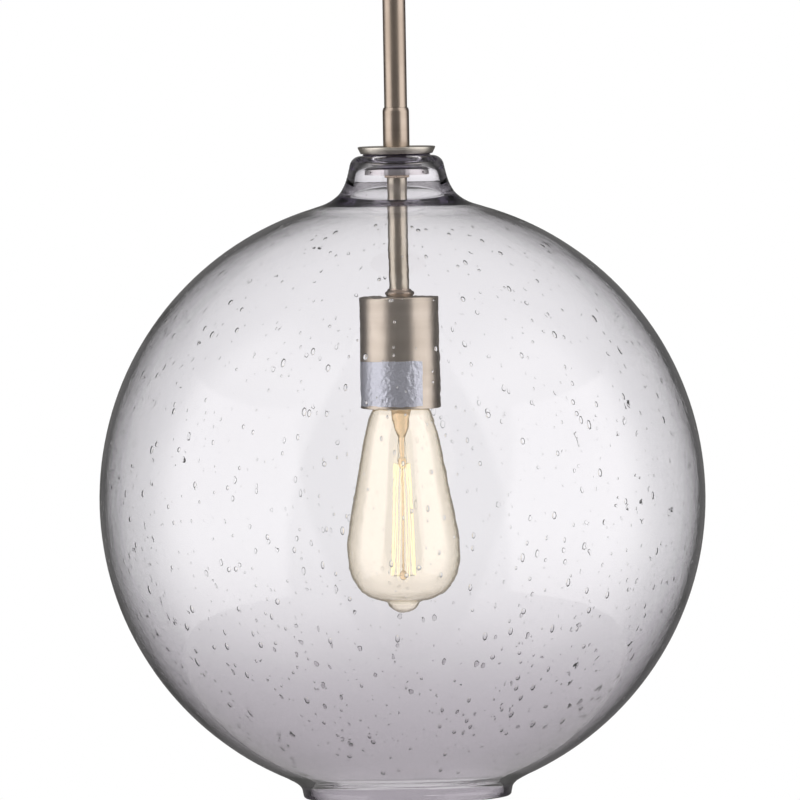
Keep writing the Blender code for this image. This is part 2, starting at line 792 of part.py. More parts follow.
# Wires. -------------------------------------------------------------------------------------
def smooth_path(points, each=4):
    """Points on a smooth curve through the given ones (Catmull-Rom)."""
    places = [Vector(p) for p in points]
    places = [2 * places[0] - places[1]] + places + [2 * places[-1] - places[-2]]
    made = []
    for i in range(1, len(places) - 2):
        a, b, c, d = places[i - 1 : i + 3]
        for k in range(each):
            t = k / each
            made.append(
                0.5
                * (
                    2 * b
                    + (c - a) * t
                    + (2 * a - 5 * b + 4 * c - d) * t * t
                    + (3 * b - a - 3 * c + d) * t * t * t
                )
            )
    return [tuple(p) for p in made + [places[-2]]]


WIRE_ANGLES = {"live": -90, "neutral": 90, "ground": 0}  # places round the rod's axis
LEAD_START = BALL_Z + BALL_R + 0.0004


def rod_wires():
    """Each wire runs from the swivel ball down to its terminal in the cup."""
    top = BALL_Z + BALL_R - 0.0010
    below = GLOBE_Z + STEM_BOTTOM
    terminal_z = GLOBE_Z + BODY_TOP + 0.0036
    ends = {
        "live": [(0, -0.0048, below - 0.0085), (0, -TERMINAL_Y + 0.0012, terminal_z + 0.0008)],
        "neutral": [(0, 0.0048, below - 0.0085), (0, TERMINAL_Y - 0.0012, terminal_z + 0.0008)],
        "ground": [(0.0040, 0, below - 0.0050), (STRAP_LEG - 0.0046, 0, GLOBE_Z + 0.0985)],
    }
    colours = {"live": BLACK_PLASTIC, "neutral": WHITE_PLASTIC, "ground": GREEN_PAINT}
    for word, degrees in WIRE_ANGLES.items():
        a = math.radians(degrees)
        x, y = WIRE_CIRCLE * math.cos(a), WIRE_CIRCLE * math.sin(a)
        if word == "ground":
            x += 0.0008
        bend = [(x, y, below + 0.004), (x, y, below - 0.001)] + ends[word]
        path = [(x, y, top), (x, y, below + 0.012)] + smooth_path(bend)
        tube(f"{word}_wire", path, WIRE_R, colours[word])


def canopy_leads():
    """From just above the ball, each lead turns under the bar to its connector or screw."""
    level = -0.0056
    far_y = 0.026
    routes = {
        "live": [(0, -0.0026, LEAD_START), (0, -0.0032, level - 0.0008), (-0.003, -0.008, level - 0.0004),
                 (-0.010, -0.017, level - 0.002), (-0.016, -far_y, -0.0105)],
        "neutral": [(0, 0.0026, LEAD_START), (0, 0.0032, level - 0.0008), (0.003, 0.008, level - 0.0004),
                    (0.010, 0.017, level - 0.002), (0.016, far_y, -0.0105)],
        "ground": [(0.0026, 0, LEAD_START), (0.0032, 0, level - 0.0008), (0.007, 0, level - 0.0004),
                   (0.0112, 0, level), (GROUND_X - 0.0036, 0, level + 0.0005)],
    }
    colours = {"live": BLACK_PLASTIC, "neutral": WHITE_PLASTIC, "ground": GREEN_PAINT}
    for word, route in routes.items():
        tube(f"{word}_lead", smooth_path(route, 3), WIRE_R, colours[word])
    for side, word in ((-1, "live"), (1, "neutral")):
        profile = [
            (0, 0.018),
            (0.0026, 0.018),
            (0.0034, 0.012),
            (0.0052, 0.003),
            (0.0052, 0),
            (0.0018, 0),
            (0.0018, 0.0025),
            (0, 0.0035),
        ]
        made = turned(f"{word}_connector", profile, ORANGE_PLASTIC, SMALL_STEPS)
        made.location = (side * 0.0165, side * (far_y + 0.0006), -0.0107)
        made.rotation_euler = (-side * math.radians(90), 0, -side * math.radians(12))
    screw_fastener(
        "ground_screw",
        0.0032,
        0.0018,
        STUD_R,
        BAR_SHEET,
        GREEN_PAINT,
        (GROUND_X, 0, -BAR_SHEET - GAP),
        (math.pi, 0, 0),
    )


for make in (
    crossbar,
    canopy,
    studs,
    bearing_ring,
    swivel_ball,
    swivel_nipple,
    downrod,
    rod_coupling,
    top_cap,
    gaskets,
    retaining_parts,
    glass_globe,
    stem,
    stem_nuts,
    socket_cup,
    socket_strap,
    socket_body,
    screw_shell,
    centre_contact,
    base_shell,
    lamp_glass,
    glass_mount,
    filament,
    filament_supports,
    rod_wires,
    canopy_leads,
):
    make()
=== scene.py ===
import math

import bmesh
import bpy
from mathutils import Matrix, Vector


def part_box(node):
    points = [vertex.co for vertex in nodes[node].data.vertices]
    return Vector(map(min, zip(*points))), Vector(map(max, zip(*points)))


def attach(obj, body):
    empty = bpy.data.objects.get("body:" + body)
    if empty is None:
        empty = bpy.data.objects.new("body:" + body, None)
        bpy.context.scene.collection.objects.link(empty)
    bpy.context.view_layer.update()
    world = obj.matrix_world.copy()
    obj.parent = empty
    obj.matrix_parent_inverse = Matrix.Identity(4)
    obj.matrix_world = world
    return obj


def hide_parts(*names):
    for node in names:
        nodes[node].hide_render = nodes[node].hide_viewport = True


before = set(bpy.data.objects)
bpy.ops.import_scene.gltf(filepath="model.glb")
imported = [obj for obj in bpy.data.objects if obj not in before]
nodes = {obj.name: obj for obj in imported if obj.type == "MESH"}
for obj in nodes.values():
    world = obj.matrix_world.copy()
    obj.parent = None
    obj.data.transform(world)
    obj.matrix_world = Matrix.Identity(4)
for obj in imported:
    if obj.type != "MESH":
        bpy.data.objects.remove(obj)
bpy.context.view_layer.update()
scene = bpy.context.scene
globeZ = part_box("glass_globe")[0].z + 0.1695  # the globe's centre
print("frame loaded")


# Small helpers for node trees, meshes and profiles.
def addNode(tree, kind, inputs=None, **settings):
    made = tree.nodes.new(kind)
    for key, value in settings.items():
        setattr(made, key, value)
    for key, value in (inputs or {}).items():
        if isinstance(value, bpy.types.NodeSocket):
            tree.links.new(value, made.inputs[key])
        else:
            made.inputs[key].default_value = value
    return made


def maths(tree, operation, a, b=0.0):
    return addNode(tree, "ShaderNodeMath", {0: a, 1: b}, operation=operation).outputs[0]


def ramp(tree, value, low, high, start=0.0, end=1.0, smooth=True):
    kind = "SMOOTHSTEP" if smooth else "LINEAR"
    made = addNode(
        tree, "ShaderNodeMapRange", {0: value, 1: low, 2: high, 3: start, 4: end}, interpolation_type=kind
    )
    return made.outputs[0]


def times(tree, a, b):
    return maths(tree, "MULTIPLY", a, b)


def added(tree, a, b):
    return maths(tree, "ADD", a, b)


def mixColour(tree, share, first, second):
    return addNode(tree, "ShaderNodeMix", {0: share, 6: first, 7: second}, data_type="RGBA").outputs[2]


def objectSpot(tree):
    return addNode(tree, "ShaderNodeTexCoord").outputs["Object"]


def addMesh(name, points, faces, material, sharp=38):
    mesh = bpy.data.meshes.new(name)
    mesh.from_pydata(points, [], faces)
    shape = bmesh.new()
    shape.from_mesh(mesh)
    bmesh.ops.remove_doubles(shape, verts=shape.verts, dist=1e-7)
    bmesh.ops.recalc_face_normals(shape, faces=shape.faces)
    shape.to_mesh(mesh)
    shape.free()
    mesh.materials.append(material)
    mesh.shade_smooth()
    mesh.set_sharp_from_angle(angle=math.radians(sharp))
    made = bpy.data.objects.new(name, mesh)
    scene.collection.objects.link(made)
    return made


def lathe(name, profile, material, steps=96, base=0.0, centre=(0.0, 0.0), sharp=38):
    points, rings = [], []
    for r, z in profile:
        if r < 1e-6:
            rings.append([len(points)] * steps)
            points.append((centre[0], centre[1], z + base))
            continue
        rings.append(range(len(points), len(points) + steps))
        for i in range(steps):
            a = math.tau * i / steps
            points.append((centre[0] + r * math.cos(a), centre[1] + r * math.sin(a), z + base))
    faces = []
    for k, ring in enumerate(rings):
        after = rings[(k + 1) % len(rings)]
        for i in range(steps):
            j = (i + 1) % steps
            face = list(dict.fromkeys((ring[i], ring[j], after[j], after[i])))
            if len(face) > 2:
                faces.append(face)
    return addMesh(name, points, faces, material, sharp)


def rounded(points, radius, count=4):
    made = []
    for i, corner in enumerate(points):
        here, before, after = Vector(corner), Vector(points[i - 1]), Vector(points[(i + 1) % len(points)])
        if here.x < 1e-6:
            made.append(corner)
            continue
        back, on = before - here, after - here
        reach = min(radius, 0.45 * back.length, 0.45 * on.length)
        start, end = here + back.normalized() * reach, here + on.normalized() * reach
        for k in range(count + 1):
            t = k / count
            made.append(tuple(start * (1 - t) ** 2 + here * 2 * t * (1 - t) + end * t * t))
    return made


def smoothed(points, each=6):
    places = [Vector(p) for p in points]
    places = [2 * places[0] - places[1]] + places + [2 * places[-1] - places[-2]]
    made = []
    for i in range(1, len(places) - 2):
        a, b, c, d = places[i - 1 : i + 3]
        for k in range(each):
            t = k / each
            made.append(
                tuple(
                    0.5 * (
                        2 * b + (c - a) * t + (
                            2 * a - 5 * b + 4 * c - d
                        ) * t * t + (3 * b - a - 3 * c + d) * t**3
                    )
                )
            )
    return made + [tuple(places[-2])]


def arc(centreR, centreZ, radius, start, end, count):
    angles = [math.radians(start + (end - start) * i / count) for i in range(count + 1)]
    return [(centreR + radius * math.cos(a), centreZ + radius * math.sin(a)) for a in angles]


def place(piece, body, slot, *replaced):
    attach(piece, body)
    if replaced:
        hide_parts(*replaced)
    return piece


# Shared shader effects.
def newGroup(name, inputs, outputs):
    group = bpy.data.node_groups.new(name, "ShaderNodeTree")
    for label, kind, value in inputs:
        socket = group.interface.new_socket(label, in_out="INPUT", socket_type=kind)
        if value is not None:
            socket.default_value = value
    for label, kind in outputs:
        group.interface.new_socket(label, in_out="OUTPUT", socket_type=kind)
    return group, group.nodes.new("NodeGroupInput"), group.nodes.new("NodeGroupOutput")


def makeBrushing():
    # Fine lines round the axis; on a flat face they are rings about the centre.
    group, entry, end = newGroup(
        "turnedBrushing",
        [
            ("Lines", "NodeSocketFloat", 1500.0), ("Centre X", "NodeSocketFloat", 0.0),
            ("Lengthwise", "NodeSocketFloat", 0.0)
        ],
        [("Height", "NodeSocketFloat"), ("Streaks", "NodeSocketFloat")]
    )
    spot = objectSpot(group)
    parts = addNode(group, "ShaderNodeSeparateXYZ", {0: spot}).outputs
    x = maths(group, "SUBTRACT", parts["X"], entry.outputs["Centre X"])
    r = maths(group, "SQRT", added(group, times(group, x, x), times(group, parts["Y"], parts["Y"])))
    around = times(group, added(group, r, parts["Z"]), entry.outputs["Lines"])
    low = times(group, x, 8.0)
    rings = addNode(
        group, "ShaderNodeCombineXYZ", {0: low, 1: times(group, parts["Y"], 8.0), 2: around}
    ).outputs[0]
    along = addNode(
        group,
        "ShaderNodeCombineXYZ",
        {
            0: times(group, x, entry.outputs["Lines"]),
            1: times(group, parts["Y"], entry.outputs["Lines"]),
            2: times(group, parts["Z"], 14.0),
        },
    ).outputs[0]
    vector = addNode(
        group, "ShaderNodeMix", {0: entry.outputs["Lengthwise"], 4: rings, 5: along}, data_type="VECTOR"
    ).outputs[1]
    fine = addNode(
        group, "ShaderNodeTexNoise", {"Vector": vector, "Scale": 1.0, "Detail": 3.0, "Roughness": 0.6}
    ).outputs[0]
    broad = addNode(
        group, "ShaderNodeTexNoise", {"Vector": vector, "Scale": 0.12, "Detail": 2.0}
    ).outputs[0]
    group.links.new(fine, end.inputs["Height"])
    group.links.new(ramp(group, broad, 0.35, 0.65), end.inputs["Streaks"])
    return group


def makeWear():
    # Soft smudges and small specks.
    group, entry, end = newGroup(
        "surfaceWear",
        [("Scale", "NodeSocketFloat", 40.0), ("Specks", "NodeSocketFloat", 900.0)],
        [("Smudge", "NodeSocketFloat"), ("Speck", "NodeSocketFloat"), ("Grain", "NodeSocketFloat")],
    )
    spot = objectSpot(group)
    soft = addNode(
        group, "ShaderNodeTexNoise",
        {"Vector": spot, "Scale": entry.outputs["Scale"], "Detail": 4.0, "Roughness": 0.55}
    ).outputs[0]
    dots = addNode(
        group, "ShaderNodeTexVoronoi", {"Vector": spot, "Scale": entry.outputs["Specks"]}
    ).outputs["Distance"]
    grain = addNode(
        group, "ShaderNodeTexNoise",
        {"Vector": spot, "Scale": times(group, entry.outputs["Specks"], 2.2), "Detail": 2.0}
    ).outputs[0]
    group.links.new(ramp(group, soft, 0.35, 0.72), end.inputs["Smudge"])
    group.links.new(ramp(group, dots, 0.16, 0.05), end.inputs["Speck"])
    group.links.new(grain, end.inputs["Grain"])
    return group


brushing, wear = makeBrushing(), makeWear()


def wearMarks(tree, smudges, specks=900.0):
    marks = addNode(tree, "ShaderNodeGroup", node_tree=wear)
    marks.inputs["Scale"].default_value = smudges
    marks.inputs["Specks"].default_value = specks
    return marks


def newMaterial(name):
    made = bpy.data.materials.new(name)
    made.use_nodes = True
    return made, made.node_tree, made.node_tree.nodes["Principled BSDF"]


metalOptions = {
    "darkened": (0.62, 0.58, 0.52), "smudgeRough": 0.07, "lineRough": 0.10, "lineDepth": 0.00004
}


def metalFinish(name, options):
    made, tree, shader = newMaterial(name)
    lines = addNode(tree, "ShaderNodeGroup", node_tree=brushing)
    lines.inputs["Lines"].default_value = options["lines"]
    lines.inputs["Centre X"].default_value = options.get("centreX", 0.0)
    lines.inputs["Lengthwise"].default_value = options.get("lengthwise", 0.0)
    marks = wearMarks(tree, options["smudges"])
    tone = times(tree, lines.outputs["Streaks"], options["streaks"])
    tone = added(tree, tone, times(tree, marks.outputs["Smudge"], options["tarnish"]))
    dark = tuple(c * s for c, s in zip(options["colour"], metalOptions["darkened"]))
    colour = mixColour(tree, tone, (*options["colour"], 1), (*dark, 1))
    tree.links.new(colour, shader.inputs["Base Color"])
    rough = added(
        tree, options["roughness"], times(tree, marks.outputs["Smudge"], metalOptions["smudgeRough"])
    )
    rough = added(tree, rough, times(tree, lines.outputs["Height"], metalOptions["lineRough"]))
    tree.links.new(rough, shader.inputs["Roughness"])
    bump = addNode(
        tree, "ShaderNodeBump",
        {
            "Strength": options["relief"], "Distance": metalOptions["lineDepth"],
            "Height": lines.outputs["Height"]
        }
    )
    tree.links.new(bump.outputs[0], shader.inputs["Normal"])
    shader.inputs["Metallic"].default_value = 1.0
    return made


plainOptions = {"smudges": 60.0, "specks": 900.0, "uneven": 0.25, "speckled": 0.2, "darkened": 0.6,
                "roughened": 0.12, "relief": 0.3, "grainDepth": 0.00006}


def plainFinish(name, options):
    made, tree, shader = newMaterial(name)
    options = {**plainOptions, **options}
    marks = wearMarks(tree, options["smudges"], options["specks"])
    tone = times(tree, marks.outputs["Smudge"], options["uneven"])
    tone = added(tree, tone, times(tree, marks.outputs["Speck"], options["speckled"]))
    dark = tuple(c * options["darkened"] for c in options["colour"])
    colour = mixColour(tree, tone, (*options["colour"], 1), (*dark, 1))
    tree.links.new(colour, shader.inputs["Base Color"])
    rough = added(tree, options["roughness"], times(tree, marks.outputs["Smudge"], options["roughened"]))
    tree.links.new(rough, shader.inputs["Roughness"])
    bump = addNode(
        tree, "ShaderNodeBump",
        {
            "Strength": options["relief"], "Distance": options["grainDepth"],
            "Height": marks.outputs["Grain"]
        }
    )
    tree.links.new(bump.outputs[0], shader.inputs["Normal"])
    return made


nickelOptions = {
    "colour": (0.50, 0.415, 0.35), "roughness": 0.26, "lines": 1500.0, "smudges": 30.0, "streaks": 0.22,
    "tarnish": 0.25, "relief": 0.35
}
zincOptions = {
    "colour": (0.62, 0.62, 0.60), "roughness": 0.30, "lines": 900.0, "smudges": 70.0, "streaks": 0.15,
    "tarnish": 0.35, "relief": 0.3
}
brassOptions = {
    "colour": (0.74, 0.56, 0.27), "roughness": 0.24, "lines": 1200.0, "smudges": 60.0, "streaks": 0.2,
    "tarnish": 0.4, "relief": 0.3
}

satinNickel = metalFinish("satinNickel", nickelOptions)
# Painted light: the cap, stem and plate are lit copies of the satin nickel, coloured lighter than the rod's
# nickel to stand in for light.
capNickel = metalFinish("capNickel", {**nickelOptions, "colour": (0.66, 0.62, 0.56)})
rodNickel = metalFinish("rodNickel", {**nickelOptions, "lengthwise": 1.0, "lines": 2600.0})
stemNickel = metalFinish(
    "stemNickel", {**nickelOptions, "colour": (0.74, 0.67, 0.57), "lengthwise": 1.0, "lines": 2600.0}
)
plateNickel = metalFinish("plateNickel", {**nickelOptions, "colour": (0.88, 0.84, 0.88), "roughness": 0.32})
leftKnobNickel = metalFinish("leftKnobNickel", {**nickelOptions, "centreX": -0.046})
rightKnobNickel = metalFinish("rightKnobNickel", {**nickelOptions, "centreX": 0.046})
zincSteel = metalFinish("zincSteel", zincOptions)
brass = metalFinish("brass", brassOptions)
rubber = plainFinish("gasketRubber", {"colour": (0.045, 0.030, 0.055), "roughness": 0.5, "relief": 0.5})
ceramic = plainFinish("ceramic", {"colour": (0.84, 0.83, 0.78), "roughness": 0.22, "uneven": 0.12})
nylon = plainFinish("nylon", {"colour": (0.80, 0.78, 0.72), "roughness": 0.42, "uneven": 0.15})
blackPlastic = plainFinish("blackPlastic", {"colour": (0.03, 0.03, 0.032), "roughness": 0.3})
whitePlastic = plainFinish(
    "whitePlastic", {"colour": (0.83, 0.83, 0.81), "roughness": 0.35, "uneven": 0.12}
)
greenPaint = plainFinish("greenPaint", {"colour": (0.05, 0.33, 0.12), "roughness": 0.32})
orangePlastic = plainFinish("orangePlastic", {"colour": (0.85, 0.30, 0.05), "roughness": 0.42})

# Colours for the vinyl's painted shade: the lighter middle where it faces the camera, the near-black edge
# painted at its outline.
bushingOptions = {"middle": (0.50, 0.47, 0.58), "edge": (0.025, 0.008, 0.035), "roughness": 0.3}
patchOptions = {
    "colour": (0.78, 0.80, 0.90), "metallic": 0.55, "low": 0.0528, "high": 0.0780, "right": 0.0125,
    "roughness": 0.30, "creases": 420.0, "creaseStrength": 0.6, "creaseDepth": 0.0012
}


def bushingFinish():
    made, tree, shader = newMaterial("softVinyl")
    marks = wearMarks(tree, 120.0)
    # Painted shade: Layer Weight darkens the vinyl's colour towards its outline as seen from the camera,
    # with smudges mixed in.
    facing = addNode(tree, "ShaderNodeLayerWeight", {"Blend": 0.5}).outputs["Facing"]
    facing = added(tree, facing, times(tree, marks.outputs["Smudge"], 0.10))
    share = ramp(tree, facing, 0.16, 0.36)
    colour = mixColour(tree, share, (*bushingOptions["middle"], 1), (*bushingOptions["edge"], 1))
    tree.links.new(colour, shader.inputs["Base Color"])
    shader.inputs["Roughness"].default_value = bushingOptions["roughness"]
    return made


def cupFinish():
    # The cup's nickel, coloured lighter than the rod's as painted light, with a plain blank foil patch
    # round its lower left.
    made = metalFinish("cupNickel", {**nickelOptions, "colour": (0.75, 0.665, 0.575)})
    tree, opt = made.node_tree, patchOptions
    shader = tree.nodes["Principled BSDF"]
    parts = addNode(tree, "ShaderNodeSeparateXYZ", {0: objectSpot(tree)}).outputs
    creases = addNode(tree, "ShaderNodeTexNoise", {"Scale": opt["creases"], "Detail": 3.0})
    tree.links.new(objectSpot(tree), creases.inputs["Vector"])
    mask = times(
        tree, maths(tree, "GREATER_THAN", parts["Z"], globeZ + opt["low"]),
        maths(tree, "LESS_THAN", parts["Z"], globeZ + opt["high"])
    )
    mask = times(tree, mask, maths(tree, "LESS_THAN", parts["X"], opt["right"]))
    mask = times(tree, mask, maths(tree, "LESS_THAN", parts["Y"], 0.0))
    colour, rough = (shader.inputs[label].links[0].from_socket for label in ("Base Color", "Roughness"))
    colour = mixColour(tree, mask, colour, (*opt["colour"], 1))
    rough = addNode(tree, "ShaderNodeMix", {0: mask, 2: rough, 3: opt["roughness"]}).outputs[0]
    tree.links.new(colour, shader.inputs["Base Color"])
    tree.links.new(rough, shader.inputs["Roughness"])
    tree.links.new(ramp(tree, mask, 0.0, 1.0, 1.0, opt["metallic"]), shader.inputs["Metallic"])
    first = shader.inputs["Normal"].links[0].from_socket
    height = times(tree, mask, creases.outputs[0])
    bump = addNode(
        tree, "ShaderNodeBump",
        {
            "Strength": opt["creaseStrength"], "Distance": opt["creaseDepth"], "Height": height,
            "Normal": first
        }
    )
    tree.links.new(bump.outputs[0], shader.inputs["Normal"])
    return made


vinyl = bushingFinish()
cupNickel = cupFinish()

glassOptions = {
    "absorb": (0.79, 0.776, 0.812), "density": 116.0, "ior": 1.46, "roughness": 0.0, "gloss": 0.62,
    "lowPaintedShade": (0.70, 0.68, 0.70), "tintTop": -0.020, "tintBottom": -0.150
}
lampGlassOptions = {
    "colour": (0.995, 0.975, 0.93), "absorb": (0.75, 0.67, 0.55), "density": 90.0, "ior": 1.58,
    "roughness": 0.0, "glow": 0.06, "glowColour": (1.0, 0.86, 0.62)
}
rippleOptions = {"smudges": 22.0, "strength": 0.12, "depth": 0.0004}
filamentOptions = {"colour": (1.0, 0.91, 0.55), "hotter": (1.0, 0.95, 0.70), "strength": 1.0}


def clearGlass(name, options):
    made, tree, shader = newMaterial(name)
    marks = wearMarks(tree, rippleOptions["smudges"])
    shader.inputs["Base Color"].default_value = (*options.get("colour", (1, 1, 1)), 1)
    shader.inputs["Roughness"].default_value = options["roughness"]
    shader.inputs["IOR"].default_value = options["ior"]
    shader.inputs["Transmission Weight"].default_value = 1.0
    bump = addNode(
        tree, "ShaderNodeBump",
        {
            "Strength": rippleOptions["strength"], "Distance": rippleOptions["depth"],
            "Height": marks.outputs["Smudge"]
        }
    )
    tree.links.new(bump.outputs[0], shader.inputs["Normal"])
    soak = addNode(
        tree, "ShaderNodeVolumeAbsorption",
        {"Color": (*options["absorb"], 1), "Density": options["density"]}
    )
    tree.links.new(soak.outputs[0], tree.nodes["Material Output"].inputs["Volume"])
    if "lowPaintedShade" in options:
        # Painted shade: the glass is coloured a little greyer towards the bottom.
        height = addNode(tree, "ShaderNodeSeparateXYZ", {0: objectSpot(tree)}).outputs["Z"]
        share = ramp(tree, height, globeZ + options["tintTop"], globeZ + options["tintBottom"])
        tint = mixColour(tree, share, (1, 1, 1, 1), (*options["lowPaintedShade"], 1))
        tree.links.new(tint, shader.inputs["Base Color"])
        shader.inputs["Specular Tint"].default_value = (*[options["gloss"]] * 3, 1)
    if "glow" in options:
        shader.inputs["Emission Color"].default_value = (*options["glowColour"], 1)
        shader.inputs["Emission Strength"].default_value = options["glow"]
    return made


seededGlass = clearGlass("seededGlass", glassOptions)
lampGlass = clearGlass("lampGlass", lampGlassOptions)
mountGlass = clearGlass("mountGlass", {**lampGlassOptions, "colour": (0.96, 0.80, 0.62), "glow": 0.05})


def glowingWire():
    made, tree, shader = newMaterial("glowingWire")
    marks = wearMarks(tree, 160.0)
    hot = mixColour(
        tree, marks.outputs["Smudge"], (*filamentOptions["colour"], 1), (*filamentOptions["hotter"], 1)
    )
    tree.links.new(hot, shader.inputs["Emission Color"])
    shader.inputs["Base Color"].default_value = (*filamentOptions["colour"], 1)
    shader.inputs["Emission Strength"].default_value = filamentOptions["strength"]
    shader.inputs["Roughness"].default_value = 0.5
    return made


filamentGlow = glowingWire()
print("materials made")


# Geometry Nodes: a tree is run once and its result kept as a plain mesh.
def geometryTree(name, inputs):
    tree = bpy.data.node_groups.new(name, "GeometryNodeTree")
    tree.interface.new_socket("Geometry", in_out="INPUT", socket_type="NodeSocketGeometry")
    for label, kind in inputs:
        tree.interface.new_socket(label, in_out="INPUT", socket_type="NodeSocket" + kind)
    tree.interface.new_socket("Geometry", in_out="OUTPUT", socket_type="NodeSocketGeometry")
    return tree, tree.nodes.new("NodeGroupInput").outputs, tree.nodes.new("NodeGroupOutput")


def runTree(piece, tree, values):
    modifier = piece.modifiers.new(tree.name, "NODES")
    modifier.node_group = tree
    for socket in tree.interface.items_tree:
        if socket.in_out == "INPUT" and socket.name in values:
            modifier[socket.identifier] = values[socket.name]
    graph = bpy.context.evaluated_depsgraph_get()
    made = bpy.data.meshes.new_from_object(piece.evaluated_get(graph), depsgraph=graph)
    piece.modifiers.clear()
    piece.data = made
    made.name = piece.name
    return piece


def closeTree(tree, geometry, material, end):
    real = addNode(tree, "GeometryNodeRealizeInstances", {0: geometry}).outputs[0]
    tree.links.new(
        addNode(tree, "GeometryNodeSetMaterial", {"Geometry": real, "Material": material}).outputs[0],
        end.inputs[0]
    )


def seededTree():
    tree, entry, end = geometryTree(
        "seededGlass",
        [
            ("Centre", "Vector"), ("Wave Height", "Float"), ("Wave Scale", "Float"),
            ("Seed Surface", "Object"), ("Density", "Float"), ("Smallest", "Float"), ("Largest", "Float"),
            ("Flatness", "Float"), ("Random Seed", "Int"), ("Material", "Material")
        ]
    )
    spot = addNode(
        tree, "ShaderNodeVectorMath",
        {0: addNode(tree, "GeometryNodeInputPosition").outputs[0], 1: entry["Centre"]},
        operation="SUBTRACT"
    ).outputs[0]
    height = addNode(tree, "ShaderNodeSeparateXYZ", {0: spot}).outputs[2]
    reach = addNode(tree, "ShaderNodeVectorMath", {0: spot}, operation="LENGTH").outputs["Value"]
    wave = addNode(
        tree, "ShaderNodeTexNoise",
        {"Vector": spot, "W": times(tree, reach, 300.0), "Scale": entry["Wave Scale"], "Detail": 1.0},
        noise_dimensions="4D"
    ).outputs[0]
    push = times(tree, maths(tree, "SUBTRACT", wave, 0.5), entry["Wave Height"])
    push = times(tree, push, ramp(tree, height, 0.172, 0.150))
    normal = addNode(tree, "GeometryNodeInputNormal").outputs[0]
    offset = addNode(tree, "ShaderNodeVectorMath", {0: normal, "Scale": push}, operation="SCALE").outputs[0]
    shell = addNode(
        tree, "GeometryNodeSetPosition", {"Geometry": entry["Geometry"], "Offset": offset}
    ).outputs[0]

    surface = addNode(tree, "GeometryNodeObjectInfo", {"Object": entry["Seed Surface"]}).outputs["Geometry"]
    crowd = times(tree, entry["Density"], ramp(tree, height, 0.16, -0.10, 0.6, 1.0))
    dots = addNode(
        tree, "GeometryNodeDistributePointsOnFaces",
        {"Mesh": surface, "Density": crowd, "Seed": entry["Random Seed"]}, distribute_method="RANDOM"
    )
    facing = addNode(
        tree, "FunctionNodeAlignRotationToVector",
        {"Rotation": dots.outputs["Rotation"], "Vector": (0.0, 0.0, 1.0)}, axis="Y", pivot_axis="Z"
    ).outputs[0]
    chance = addNode(
        tree, "FunctionNodeRandomValue", {2: 0.0, 3: 1.0, "Seed": entry["Random Seed"]}, data_type="FLOAT"
    ).outputs[1]
    size = times(
        tree, maths(tree, "POWER", chance, 2.6),
        maths(tree, "SUBTRACT", entry["Largest"], entry["Smallest"])
    )
    size = added(tree, size, entry["Smallest"])
    stretch = addNode(
        tree, "FunctionNodeRandomValue", {2: 1.1, 3: 2.2, "Seed": 7}, data_type="FLOAT"
    ).outputs[1]
    scale = addNode(
        tree, "ShaderNodeCombineXYZ",
        {0: size, 1: times(tree, size, stretch), 2: times(tree, size, entry["Flatness"])}
    ).outputs[0]
    ball = addNode(tree, "GeometryNodeMeshUVSphere", {"Segments": 7, "Rings": 5, "Radius": 1.0}).outputs[0]
    ball = addNode(tree, "GeometryNodeSetShadeSmooth", {"Geometry": ball}).outputs[0]
    seeds = addNode(
        tree, "GeometryNodeInstanceOnPoints",
        {"Points": dots.outputs["Points"], "Instance": ball, "Rotation": facing, "Scale": scale}
    ).outputs[0]
    seeds = addNode(tree, "GeometryNodeRealizeInstances", {0: seeds}).outputs[0]
    seeds = addNode(tree, "GeometryNodeFlipFaces", {0: seeds}).outputs[0]
    both = addNode(tree, "GeometryNodeJoinGeometry")
    tree.links.new(shell, both.inputs[0])
    tree.links.new(seeds, both.inputs[0])
    closeTree(tree, both.outputs[0], entry["Material"], end)
    return tree


globeOptions = {
    "radius": 0.172, "wall": 0.003, "steps": 140, "arcStep": 2.0, "waveHeight": 0.00025,
    "waveScale": 26.0, "density": 7200.0, "smallestSeed": 0.00034, "largestSeed": 0.00150,
    "flatness": 0.13, "randomSeed": 11, "neckAngle": 73.4, "footAngle": -66.35, "hollowNeck": 72.53,
    "hollowFoot": -68.8
}


